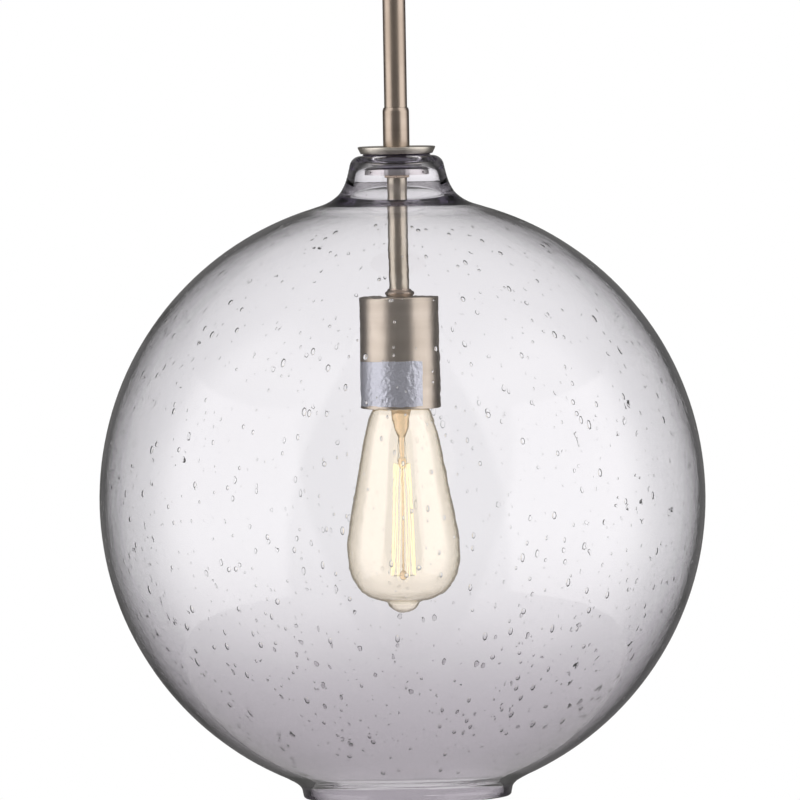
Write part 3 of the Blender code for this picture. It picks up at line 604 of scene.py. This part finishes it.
def makeGlobe():
    size = globeOptions
    r, wall, under = size["radius"], size["wall"], 0.1898

    def sweep(radius, start, end):
        return arc(0, 0, radius, start, end, round(abs(end - start) / size["arcStep"]))

    shoulder = arc(0.0204, 0.1880, 0.0064, 90, 8, 10)
    flare = smoothed(
        [
            shoulder[-1], (0.0284, 0.1822), (0.0302, 0.1775), (0.0335, 0.1725), (0.0400, 0.1680),
            (r * math.cos(math.radians(size["neckAngle"])), 0.1648)
        ],
        7
    )
    ball = sweep(r, size["neckAngle"], size["footAngle"])
    foot = smoothed(
        [ball[-1], (0.0630, -0.1609), (0.0602, -0.1637), (0.0594, -0.1665), (0.0590, -0.1685)], 5
    )
    lip = [(0.0586, -0.1691), (0.0580, -0.1695), (0.0560, -0.1695), (0.0553, -0.1691), (0.0550, -0.1685)]
    hollow = sweep(r - wall, size["hollowFoot"], size["hollowNeck"])
    mouth = smoothed(
        [(0.0550, -0.1685), (0.0548, -0.1660), (0.0552, -0.1630), (0.0572, -0.1600), hollow[0]], 5
    )
    # A gathered collar stands a little into the globe under the neck.
    throat = [
        hollow[-1], (0.0445, 0.1634), (0.0385, 0.1652), (0.0320, 0.1661), (0.0282, 0.1672),
        (0.0264, 0.1692), (0.0255, 0.1722)
    ]
    throat = smoothed(throat + [(0.0248, 0.1760), (0.0241, 0.1810), (0.0228, 0.1862), (0.0200, under)], 5)
    profile = [(0.0168, 0.1944)] + shoulder + flare[1:] + ball[1:] + foot[1:] + lip
    profile += mouth[1:] + hollow[1:] + throat[1:] + [(0.0168, under)]
    globe = lathe("globeGlass", profile, seededGlass, size["steps"], globeZ, sharp=50)
    middle = arc(0, 0, r - wall / 2, 68, -62, 40)
    surface = lathe("seedSurface", middle, seededGlass, 64, globeZ)
    # The lathe closes its loop; the wall between the two ends is not wanted here.
    shape = bmesh.new()
    shape.from_mesh(surface.data)
    cut = [f for f in shape.faces if max(v.co.z for v in f.verts) - min(v.co.z for v in f.verts) > 0.1]
    bmesh.ops.delete(shape, geom=cut, context="FACES")
    bmesh.ops.recalc_face_normals(shape, faces=shape.faces)
    shape.to_mesh(surface.data)
    shape.free()
    runTree(
        globe, seededTree(),
        {
            "Centre": (0.0, 0.0, globeZ), "Wave Height": size["waveHeight"],
            "Wave Scale": size["waveScale"], "Seed Surface": surface, "Density": size["density"],
            "Smallest": size["smallestSeed"], "Largest": size["largestSeed"],
            "Flatness": size["flatness"], "Random Seed": size["randomSeed"], "Material": seededGlass
        }
    )
    bpy.data.objects.remove(surface)
    place(globe, "pendant", "seeded_glass", "glass_globe")
    print("globe:", len(globe.data.polygons), "faces")


makeGlobe()


# Ceiling end.
canopyOptions = {"radius": 0.0635, "depth": 0.024, "sheet": 0.0012, "corner": 0.009, "hole": 0.0146}
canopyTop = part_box("canopy")[1].z


def makeCanopy():
    size = canopyOptions
    r, deep, sheet, corner = size["radius"], size["depth"], size["sheet"], size["corner"]
    outer = [(r - 0.0003, canopyTop)] + [(r, canopyTop - 0.0003)] + arc(
        r - corner, -deep + corner, corner, 0, -90, 10
    )
    outer += [(size["hole"] + 0.0003, -deep), (size["hole"], -deep + 0.0003)]
    inner = [(size["hole"], -deep + sheet)] + arc(r - corner, -deep + corner, corner - sheet, -90, 0, 10)
    inner += [(r - sheet, canopyTop)]
    made = lathe("canopyShell", outer + inner, satinNickel, 128)
    place(made, "ceiling_mount", "satin_nickel", "canopy")
    for side, word, finish in ((-1, "left", leftKnobNickel), (1, "right", rightKnobNickel)):
        low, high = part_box(f"ball_knob_{word}")
        x, top, ball = (low.x + high.x) / 2, high.z, 0.0048
        profile = [(0.0034, top)] + arc(0, top - ball - 0.0008, ball, 36, -90, 16)
        profile[-1] = (0, profile[-1][1])
        profile += [(0, top - 0.0062), (0.0024, top - 0.0062), (0.0024, top)]
        place(
            lathe(f"ballKnob_{word}", profile, finish, 40, 0, (x, 0)), "ceiling_mount", "satin_nickel",
            f"ball_knob_{word}"
        )


swivelOptions = {
    "ball": 0.011, "hole": 0.0053, "bore": 0.0036, "shelf": 0.0035, "seat": 0.0115, "seatTop": 0.007,
    "ring": 0.0142, "flange": 0.0185, "flangeLow": -0.0225, "flangeDeep": 0.002, "mouth": 0.0098
}


def makeSwivel():
    size = swivelOptions
    low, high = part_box("swivel_ball")
    ballZ, ball, hole, bore = (low.z + high.z) / 2, size["ball"], size["hole"], size["bore"]
    cap = math.degrees(math.acos(hole / ball))
    profile = arc(0, ballZ, ball, cap, -cap, 28) + [
        (hole, ballZ + size["shelf"]), (bore, ballZ + size["shelf"]),
        (bore, ballZ + ball * math.sin(math.radians(cap)))
    ]
    place(lathe("swivelBall", profile, satinNickel, 72), "pendant", "satin_nickel", "swivel_ball")
    ringLow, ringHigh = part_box("bearing_ring")
    seat, ring, flange, under = size["seat"], size["ring"], size["flange"], size["flangeLow"]
    lip = -math.degrees(math.asin(size["seatTop"] / seat))
    step = under + size["flangeDeep"]
    outline = rounded(
        [
            (ring, ringHigh.z), (ring, step), (flange, step), (flange, under), (ring, under),
            (ring, ringLow.z), (size["mouth"], ringLow.z)
        ],
        0.0003, 2
    )
    outline += arc(0, ballZ, seat, lip, 0, 10) + [(seat, ringHigh.z)]
    place(lathe("bearingRing", outline, nylon, 96), "swivel_bearing", "nylon", "bearing_ring")


rodOptions = {"radius": 0.0065, "inside": 0.0054, "plug": 0.014, "coupling": 0.0075, "chamfer": 0.0018}


def makeRod():
    low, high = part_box("downrod")
    r, inside, plug = rodOptions["radius"], rodOptions["inside"], rodOptions["plug"]
    profile = rounded([(r, high.z), (r, low.z), (0.0046, low.z)], 0.0004, 3)
    profile += [
        (0.0046, low.z + plug), (inside, low.z + plug + 0.001), (inside, high.z - plug - 0.001),
        (0.0053, high.z - plug), (0.0053, high.z)
    ]
    place(lathe("downrodTube", profile, rodNickel, 96), "pendant", "satin_nickel", "downrod")
    low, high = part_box("rod_coupling")
    r, chamfer = rodOptions["coupling"], rodOptions["chamfer"]
    profile = rounded([(0.0070, high.z), (r, high.z - chamfer), (r, low.z), (0.0060, low.z)], 0.0003, 3)
    profile += [
        (0.0060, low.z + 0.0085), (0.0036, low.z + 0.0085), (0.0036, high.z - 0.0084),
        (0.0069, high.z - 0.0084), (0.0069, high.z)
    ]
    place(lathe("rodCoupling", profile, satinNickel, 96), "pendant", "satin_nickel", "rod_coupling")


clampOptions = {"rim": 0.0221, "hole": 0.0060, "gasket": 0.0193, "gasketHole": 0.0062, "throat": 0.0165}


def makeClamp():
    keys = ("rim", "hole", "gasket", "gasketHole", "throat")
    rim, hole, gasket, inside, throat = (clampOptions[key] for key in keys)
    profile = rounded(
        [
            (rim - 0.0008, 0.1997), (rim, 0.1993), (rim - 0.0002, 0.1986), (0.0204, 0.1956),
            (hole, 0.1956), (hole, 0.1990), (rim - 0.0022, 0.1990)
        ],
        0.0003, 3
    )
    place(lathe("topCap", profile, capNickel, 128, globeZ), "pendant", "satin_nickel", "top_cap")
    low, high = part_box("upper_gasket")
    profile = rounded([(gasket, high.z), (gasket, low.z), (inside, low.z), (inside, high.z)], 0.0003, 3)
    place(lathe("upperGasket", profile, rubber, 96), "pendant", "gasket_rubber", "upper_gasket")
    profile = rounded(
        [
            (throat, 0.1938), (throat, 0.1895), (0.0190, 0.1895), (0.0186, 0.1888), (throat, 0.1877),
            (hole, 0.1877), (hole, 0.1938)
        ],
        0.0003, 3
    )
    place(lathe("lowerGasket", profile, vinyl, 96, globeZ), "pendant", "gasket_rubber", "lower_gasket")


def hexNut(name, flats, low, high, hole, material):
    # A radius of 0 stands for the six-sided outline, which is drawn in a little at both ends.
    points, faces, corner, steps, chamfer = [], [], flats / math.sqrt(3), 48, 0.0004
    rings = [(hole, high), (hole, low), (0, low), (0, low + chamfer), (0, high - chamfer), (0, high)]
    for r, z in rings:
        for i in range(steps):
            a = math.tau * i / steps
            edge = (flats / 2) / math.cos((a + math.pi / 6) % (math.pi / 3) - math.pi / 6)
            radius = r or min(edge, corner * 0.985) * (0.94 if z in (low, high) else 1)
            points.append((radius * math.cos(a), radius * math.sin(a), z))
    for k in range(len(rings)):
        for i in range(steps):
            j, m = (i + 1) % steps, (k + 1) % len(rings)
            faces.append((k * steps + i, k * steps + j, m * steps + j, m * steps + i))
    return addMesh(name, points, faces, material, 20)


stemOptions = {"radius": 0.0057, "wall": 0.001}


def makeStem():
    low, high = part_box("stem")
    r, inside = stemOptions["radius"], stemOptions["radius"] - stemOptions["wall"]
    place(
        lathe(
            "stemTube", rounded([(r, high.z), (r, low.z), (inside, low.z), (inside, high.z)], 0.0002, 2),
            stemNickel, 72
        ),
        "pendant", "satin_nickel", "stem"
    )
    low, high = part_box("retaining_nut")
    place(
        hexNut("retainingNut", 0.014, low.z, high.z, 0.0060, satinNickel), "pendant", "satin_nickel",
        "retaining_nut"
    )
    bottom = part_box("stem_nut")[0].z
    profile = smoothed(
        [
            (0.0065, bottom + 0.0040), (0.0069, bottom + 0.0031), (0.0079, bottom + 0.0024),
            (0.0082, bottom + 0.0015), (0.0074, bottom)
        ],
        4
    )
    profile += [(0.0060, bottom), (0.0060, bottom + 0.0040)]
    place(lathe("stemNut", profile, satinNickel, 72), "pendant", "satin_nickel", "stem_nut")


cupOptions = {"radius": 0.02255, "sheet": 0.0012, "edge": 0.0009}


def makeLampholder():
    low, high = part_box("socket_cup")
    r, sheet = cupOptions["radius"], cupOptions["sheet"]
    inside = r - sheet
    profile = rounded(
        [
            (r, high.z), (r, low.z), (inside, low.z), (inside, high.z - sheet), (0.0060, high.z - sheet),
            (0.0060, high.z)
        ],
        cupOptions["edge"], 4
    )
    place(lathe("socketCup", profile, cupNickel, 128), "pendant", "satin_nickel", "socket_cup")
    low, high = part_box("socket_body")
    floor = high.z - 0.006
    profile = [(0.0018, high.z)] + rounded(
        [(0.0190, high.z), (0.0196, high.z - 0.0006), (0.0196, low.z), (0.0148, low.z)], 0.0008, 3
    )
    profile += [(0.0148, floor), (0.0018, floor)]
    place(lathe("ceramicBody", profile, ceramic, 96), "pendant", "ceramic", "socket_body")


threadOptions = {"pitch": 0.00363, "rowsEach": 10, "depth": 0.00042, "steps": 72}


def threadRows(crest, top, bottom, fade=0.0022):
    size = threadOptions
    count = max(2, round((top - bottom) / size["pitch"] * size["rowsEach"]))
    rows = []
    for k in range(count + 1):
        z = top + (bottom - top) * k / count
        share = min(1, (top - z) / fade, (z - bottom) / fade)
        rows.append((crest, z, size["depth"] * max(0, share)))
    return rows


def threadedShell(name, outer, wall, material, ends, base):
    # A pressed helical thread: rows hold (crest radius, height, depth of the thread there).
    size = threadOptions
    steps, points, faces = size["steps"], [], []
    rows = list(outer) + [(r - wall, z, d) for r, z, d in reversed(outer)]
    rows = ends[0] + rows[: len(outer)] + ends[1] + rows[len(outer) :] + ends[2]
    for r, z, depth in rows:
        for i in range(steps):
            a = math.tau * i / steps
            turn = 0.5 + 0.5 * math.cos(math.tau * z / size["pitch"] + a)
            radius = r - depth * turn**1.4
            points.append((radius * math.cos(a), radius * math.sin(a), z + base))
    count = len(rows)
    for k in range(count):
        m = (k + 1) % count
        for i in range(steps):
            j = (i + 1) % steps
            faces.append((k * steps + i, k * steps + j, m * steps + j, m * steps + i))
    return addMesh(name, points, faces, material, 50)


baseOptions = {"top": 0.0736, "bottom": 0.0553, "crest": 0.0131, "wall": 0.0007}
shellOptions = {"top": 0.0760, "bottom": 0.0578, "crest": 0.0144, "wall": 0.0005, "fade": 0.001}


def makeBase():
    top, bottom, crest, wall = (baseOptions[key] for key in ("top", "bottom", "crest", "wall"))
    ends = [[(0.0062, 0.0751, 0), (0.0105, 0.0747, 0), (0.0123, 0.0742, 0)],
            [(0.0130, bottom - 0.0010, 0), (0.0127, bottom - 0.0012, 0), (0.0122, bottom - 0.0010, 0)],
            [(0.0119, 0.0731, 0), (0.0062, 0.0740, 0)]]
    shell = threadedShell("lampBase", threadRows(crest, top, bottom), wall, brass, ends, globeZ)
    place(shell, "lamp", "brass", "base_shell")
    profile = rounded([(0.0098, 0.0768), (0.0098, 0.0755), (0.0030, 0.0755), (0.0030, 0.0768)], 0.0003, 2)
    place(
        lathe("baseInsulator", profile, blackPlastic, 48, globeZ), "lamp", "black_plastic",
        "base_insulator"
    )
    profile = [
        (0, 0.0789), (0.0018, 0.0787), (0.0032, 0.0782), (0.0042, 0.0776), (0.0046, 0.0771), (0, 0.0771)
    ]
    place(lathe("baseContact", profile, zincSteel, 48, globeZ), "lamp", "zinc_steel", "base_contact")
    top, bottom, crest, wall = (shellOptions[key] for key in ("top", "bottom", "crest", "wall"))
    shell = threadedShell(
        "screwShell", threadRows(crest, top, bottom, shellOptions["fade"]), wall, brass, [[], [], []],
        globeZ
    )
    place(shell, "pendant", "brass", "screw_shell")


lampOptions = {"wall": 0.0009, "steps": 128}


def makeEnvelope():
    wall = lampOptions["wall"]
    neck = [(0.0116, 0.0705), (0.0116, 0.0545)]
    bell = [
        (0.0119, 0.0535), (0.0142, 0.0524), (0.0166, 0.0500), (0.0190, 0.0430), (0.0213, 0.0348),
        (0.0255, 0.0116), (0.0291, -0.0072), (0.0312, -0.0200), (0.0320, -0.0293), (0.0313, -0.0385),
        (0.0287, -0.0465), (0.0240, -0.0528), (0.0175, -0.0565), (0.0115, -0.0582), (0.0090, -0.0592),
        (0.0080, -0.0612), (0.0058, -0.0634), (0.0030, -0.0646), (0, -0.0649)
    ]
    outer = neck + smoothed(bell, 5)
    inner = []
    for i, (r, z) in enumerate(outer):
        before, after = Vector(outer[max(i - 1, 0)]), Vector(outer[min(i + 1, len(outer) - 1)])
        along = (after - before).normalized()
        inner.append((max(r + along.y * wall, 0.0), z - along.x * wall))
    inner[-1] = (0, outer[-1][1] + wall)
    inner = [p for p in inner[:-1] if p[0] > 0.0004] + [inner[-1]]
    made = lathe("lampEnvelope", outer + inner[::-1], lampGlass, lampOptions["steps"], globeZ, sharp=60)
    place(made, "lamp", "lamp_glass", "lamp_glass")
    top, bottom = filamentPath["top"], filamentPath["bottom"]
    post = smoothed(
        [
            (0.0098, 0.0690), (0.0072, 0.0600), (0.0056, 0.0500), (0.0046, 0.0430), (0.0036, 0.0385),
            (0.0016, 0.0340)
        ],
        4
    )
    post += smoothed(
        [
            (0.0014, top + 0.0045), (0.0014, top + 0.0035), (0.0021, top + 0.0016),
            (0.0021, top - 0.0016), (0.0006, top - 0.0034)
        ],
        3
    )
    post += smoothed(
        [
            (0.0006, bottom + 0.0030), (0.0018, bottom + 0.0012), (0.0018, bottom - 0.0010),
            (0.0010, bottom - 0.0022), (0, bottom - 0.0026)
        ],
        3
    )
    place(
        lathe("mountPost", [(0, 0.0690)] + post, mountGlass, 40, globeZ, sharp=60), "lamp", "lamp_glass",
        "glass_mount"
    )


wireOptions = {"sides": 6, "step": 0.0006, "bendSteps": 5, "wanderScale": 90.0}


def wireTree():
    tree, entry, end = geometryTree(
        "wireAlongPath",
        [
            ("Radius", "Float"), ("Bend", "Float"), ("Wander", "Float"), ("Wander Scale", "Float"),
            ("Sides", "Int"), ("Material", "Material")
        ]
    )
    curve = addNode(tree, "GeometryNodeMeshToCurve", {0: entry["Geometry"]}).outputs[0]
    curve = addNode(
        tree, "GeometryNodeFilletCurve",
        {
            "Curve": curve, "Count": wireOptions["bendSteps"], "Radius": entry["Bend"],
            "Limit Radius": True
        },
        mode="POLY"
    ).outputs[0]
    curve = addNode(
        tree, "GeometryNodeResampleCurve", {"Curve": curve, "Length": wireOptions["step"]}, mode="LENGTH"
    ).outputs[0]
    noise = addNode(tree, "ShaderNodeTexNoise", {"Scale": entry["Wander Scale"], "Detail": 1.0})
    tree.links.new(addNode(tree, "GeometryNodeInputPosition").outputs[0], noise.inputs["Vector"])
    drift = addNode(
        tree, "ShaderNodeVectorMath", {0: noise.outputs["Color"], 1: (0.5, 0.5, 0.5)},
        operation="SUBTRACT"
    ).outputs[0]
    drift = addNode(
        tree, "ShaderNodeVectorMath", {0: drift, "Scale": entry["Wander"]}, operation="SCALE"
    ).outputs[0]
    curve = addNode(tree, "GeometryNodeSetPosition", {"Geometry": curve, "Offset": drift}).outputs[0]
    circle = addNode(
        tree, "GeometryNodeCurvePrimitiveCircle",
        {"Resolution": entry["Sides"], "Radius": entry["Radius"]}
    ).outputs[0]
    tube = addNode(
        tree, "GeometryNodeCurveToMesh", {"Curve": curve, "Profile Curve": circle, "Fill Caps": True}
    ).outputs[0]
    tube = addNode(tree, "GeometryNodeSetShadeSmooth", {"Geometry": tube}).outputs[0]
    closeTree(tree, tube, entry["Material"], end)
    return tree


wires = wireTree()


def wire(name, runs, radius, material, bend=0.0, wander=0.0):
    mesh = bpy.data.meshes.new(name)
    points, edges = [], []
    for run in runs:
        start = len(points)
        points += run
        edges += [(start + i, start + i + 1) for i in range(len(run) - 1)]
    mesh.from_pydata(points, edges, [])
    made = bpy.data.objects.new(name, mesh)
    scene.collection.objects.link(made)
    return runTree(
        made, wires,
        {
            "Radius": radius, "Bend": bend, "Wander": wander, "Wander Scale": wireOptions["wanderScale"],
            "Sides": wireOptions["sides"], "Material": material
        }
    )


filamentPath = {
    "hooks": 6, "top": 0.0196, "bottom": -0.0440, "topRadius": 0.0046, "lowRadius": 0.0068,
    "start": 120.0, "sweep": 300.0, "radius": 0.00021, "run": 0.0005, "bend": 0.0005, "wander": 0.0003,
    "hook": 0.00013, "lead": 0.00024, "leadBend": 0.002
}


def makeFilament():
    size = filamentPath
    steps = 2 * size["hooks"]
    angles = [math.radians(size["start"] + size["sweep"] * i / steps) for i in range(steps + 1)]
    path = []
    for i, a in enumerate(angles):
        r, z = (size["lowRadius"], size["bottom"]) if i % 2 else (size["topRadius"], size["top"])
        for run in (0,) if i in (0, steps) else (-size["run"], size["run"]):
            path.append((r * math.cos(a + run / r), r * math.sin(a + run / r), z + globeZ))
    place(
        wire("filamentCage", [path], size["radius"], filamentGlow, size["bend"], size["wander"]), "lamp",
        "filament", "filament"
    )
    for word, height, r, reach, chosen in (
        ("upper", size["top"], 0.0021, size["topRadius"], angles[2:-1:2]),
        ("lower", size["bottom"], 0.0018, size["lowRadius"], angles[1::2]),
    ):
        runs = []
        for a in chosen:
            out, z = Vector((math.cos(a), math.sin(a), 0)), height + globeZ
            tip = reach - 0.0005
            runs.append(
                [tuple(out * (r - 0.0004) + Vector((0, 0, z))), tuple(out * tip + Vector((0, 0, z)))]
            )
        place(wire(f"{word}Hooks", runs, size["hook"], zincSteel), "lamp", "zinc_steel", f"{word}_anchors")
    for i, word in ((0, "left"), (steps, "right")):
        a = angles[i]
        near, far = 0.0026, size["topRadius"]
        run = [
            (near * math.cos(a), near * math.sin(a), globeZ + 0.0355),
            (far * math.cos(a), far * math.sin(a), globeZ + 0.0300),
            (far * math.cos(a), far * math.sin(a), globeZ + size["top"] + 0.0005)
        ]
        place(
            wire(f"leadWire_{word}", [run], size["lead"], zincSteel, size["leadBend"]), "lamp",
            "zinc_steel", f"lead_wire_{word}"
        )


makeCanopy()
makeSwivel()
makeRod()
makeClamp()
makeStem()
makeLampholder()
makeBase()
makeEnvelope()
makeFilament()
print("pieces made")


# CAD nodes that stay as they are take a finish here.
finishes = {
    "zinc_steel": (
        zincSteel, "crossbar", "canopy_stud_left", "canopy_stud_right", "stud_nut_left", "stud_nut_right",
        "swivel_nipple", "cup_lock_nut", "socket_strap", "strap_screw_left", "strap_screw_right",
        "neutral_terminal_screw"
    ),
    "satin_nickel": (plateNickel, "retaining_plate"),
    "brass": (brass, "centre_contact", "live_terminal_screw"),
    "black_plastic": (blackPlastic, "live_wire", "live_lead"),
    "white_plastic": (whitePlastic, "neutral_wire", "neutral_lead"),
    "green_paint": (greenPaint, "ground_screw", "strap_ground_screw", "ground_wire", "ground_lead"),
    "orange_plastic": (orangePlastic, "live_connector", "neutral_connector")
}
for slot, (material, *names) in finishes.items():
    for name in names:
        nodes[name].data.materials.clear()
        nodes[name].data.materials.append(material)
for name, node in nodes.items():
    if node.hide_render:
        node.data.materials.clear()
        node.data.materials.append(satinNickel)


# Plain floor, studio surroundings and camera.
floorOptions = {"height": -2.1, "radius": 2.6, "colour": (0.80, 0.80, 0.80)}


def makeFloor():
    made, tree, shader = newMaterial("paleFloor")
    shader.inputs["Base Color"].default_value = (*floorOptions["colour"], 1)
    shader.inputs["Roughness"].default_value = 0.8
    behind = addNode(tree, "ShaderNodeNewGeometry").outputs["Backfacing"]
    clear = addNode(tree, "ShaderNodeBsdfTransparent").outputs[0]
    mix = addNode(tree, "ShaderNodeMixShader", {0: behind, 1: shader.outputs[0], 2: clear})
    tree.links.new(mix.outputs[0], tree.nodes["Material Output"].inputs["Surface"])
    mesh = bpy.data.meshes.new("floor")
    shape = bmesh.new()
    bmesh.ops.create_circle(shape, cap_ends=True, segments=96, radius=floorOptions["radius"])
    shape.to_mesh(mesh)
    shape.free()
    mesh.materials.append(made)
    floor = bpy.data.objects.new("floor", mesh)
    floor.location.z = floorOptions["height"]
    scene.collection.objects.link(floor)


studioOptions = {
    "white": (1.0, 1.0, 1.0),
    "seenThrough": (1.02, 1.012, 1.02),
    "front": 0.12,
    "back": 0.045,
    "behind": 0.10,
    "softbox": 1.45,
    "boxes": ((-1.0, 43.0, 104.0, 1.0), (1.0, 39.0, 104.0, 0.95)),  # side, near edge, far edge, strength
    "boxLean": 0.20,
    "nearSoft": 2.5,
    "farSoft": 14.0,
    "boxLow": -50.0,
    "boxHigh": 55.0,
    "top": 0.55,
    "below": 0.80,
    "sideDark": 0.10,
    "sideLight": 0.88,
    "slant": 0.65,
    "slantMost": 0.20,
    "least": 0.02,
    "heightSoft": 14,
    "studioColour": (1.0, 0.985, 0.965),
    "turnOver": 0.3,
    "behindFrom": 0.75,
    "topSpan": (0.45, 0.95),
    "belowSpan": (-0.25, -0.9),
    "darkSpan": (0.44, 0.68),
    "lightSpan": (0.38, 0.15),
    "slantSpan": (0.45, 0.30),
}


def makeStudio():
    world = bpy.data.worlds.new("studio")
    scene.world = world
    world.use_nodes = True
    tree, opt = world.node_tree, studioOptions
    tree.nodes.clear()
    way = addNode(
        tree, "ShaderNodeSeparateXYZ", {0: addNode(tree, "ShaderNodeTexCoord").outputs["Generated"]}
    ).outputs
    azimuth = maths(tree, "ARCTAN2", way["X"], times(tree, way["Y"], -1.0))
    elevation = maths(tree, "ARCSINE", way["Z"])
    level = ramp(tree, way["Y"], -opt["turnOver"], opt["turnOver"], opt["front"], opt["back"])
    level = added(tree, level, ramp(tree, way["Y"], opt["behindFrom"], 1.0, 0.0, opt["behind"]))
    level = added(tree, level, ramp(tree, way["Z"], *opt["topSpan"], 0.0, opt["top"]))
    level = added(tree, level, ramp(tree, way["Z"], *opt["belowSpan"], 0.0, opt["below"]))
    for side, near, far, share in opt["boxes"]:
        across = added(tree, times(tree, azimuth, side), times(tree, elevation, opt["boxLean"]))
        box = ramp(tree, across, math.radians(near - opt["nearSoft"]), math.radians(near + opt["nearSoft"]))
        box = times(
            tree, box,
            ramp(tree, across, math.radians(far + opt["farSoft"]), math.radians(far - opt["farSoft"]))
        )
        box = times(
            tree, box,
            ramp(
                tree, elevation, math.radians(opt["boxLow"] - opt["heightSoft"]),
                math.radians(opt["boxLow"] + opt["heightSoft"])
            )
        )
        box = times(
            tree, box,
            ramp(
                tree, elevation, math.radians(opt["boxHigh"] + opt["heightSoft"]),
                math.radians(opt["boxHigh"] - opt["heightSoft"])
            )
        )
        level = added(tree, level, times(tree, box, opt["softbox"] * share))
    path = addNode(tree, "ShaderNodeLightPath").outputs
    turned = added(tree, path["Glossy Depth"], path["Diffuse Depth"])
    straight = maths(tree, "LESS_THAN", turned, 0.5)
    studio = addNode(
        tree, "ShaderNodeBackground", {"Color": (*opt["studioColour"], 1), "Strength": level}
    ).outputs[0]
    # Light seen through the glass is dark about 65 degrees to either side of the front and the back
    # of the room. Between them it is a little brighter on the right, which shades the seeds.
    turnedBy = maths(tree, "ABSOLUTE", way["Y"])
    side = ramp(tree, turnedBy, *opt["darkSpan"], opt["sideDark"], 1.0)
    side = added(tree, side, ramp(tree, turnedBy, *opt["lightSpan"], 0.0, opt["sideLight"]))
    slant = times(
        tree, way["X"],
        ramp(tree, maths(tree, "ABSOLUTE", way["X"]), *opt["slantSpan"], 0.0, opt["slant"])
    )
    side = maths(
        tree, "MAXIMUM", added(tree, side, maths(tree, "MINIMUM", slant, opt["slantMost"])), opt["least"]
    )
    through = addNode(
        tree, "ShaderNodeBackground", {"Color": (*opt["seenThrough"], 1), "Strength": side}
    ).outputs[0]
    plain = addNode(tree, "ShaderNodeBackground", {"Color": (*opt["white"], 1), "Strength": 1.0}).outputs[0]
    mix = addNode(tree, "ShaderNodeMixShader", {0: straight, 1: studio, 2: through}).outputs[0]
    mix = addNode(tree, "ShaderNodeMixShader", {0: path["Is Camera Ray"], 1: mix, 2: plain}).outputs[0]
    addNode(tree, "ShaderNodeOutputWorld", {0: mix})


cameraOptions = {
    "distance": 6.5, "elevation": 2.5, "aimAboveGlobe": 0.0557, "aimRight": -0.00045,
    "frameWidth": 0.4539, "roll": 1.0
}


def makeCamera():
    opt = cameraOptions
    data = bpy.data.cameras.new("camera")
    data.sensor_width = 36.0
    data.lens = 36.0 * opt["distance"] / opt["frameWidth"]
    data.clip_end = 100.0
    camera = bpy.data.objects.new("camera", data)
    scene.collection.objects.link(camera)
    e = math.radians(opt["elevation"])
    back = Vector((0.0, -math.cos(e), math.sin(e)))
    camera.rotation_mode = "QUATERNION"
    turn = (-back).to_track_quat("-Z", "Y").to_matrix() @ Matrix.Rotation(
        math.radians(-opt["roll"]), 3, "Z"
    )
    camera.rotation_quaternion = turn.to_quaternion()
    camera.location = Vector((opt["aimRight"], 0.0, globeZ + opt["aimAboveGlobe"])) + back * opt["distance"]
    scene.camera = camera


makeFloor()
makeStudio()
makeCamera()
scene.view_settings.view_transform = "Standard"
scene.cycles.max_bounces = 24
scene.cycles.transmission_bounces = 24
scene.cycles.glossy_bounces = 10
scene.cycles.transparent_max_bounces = 16
print("studio made")
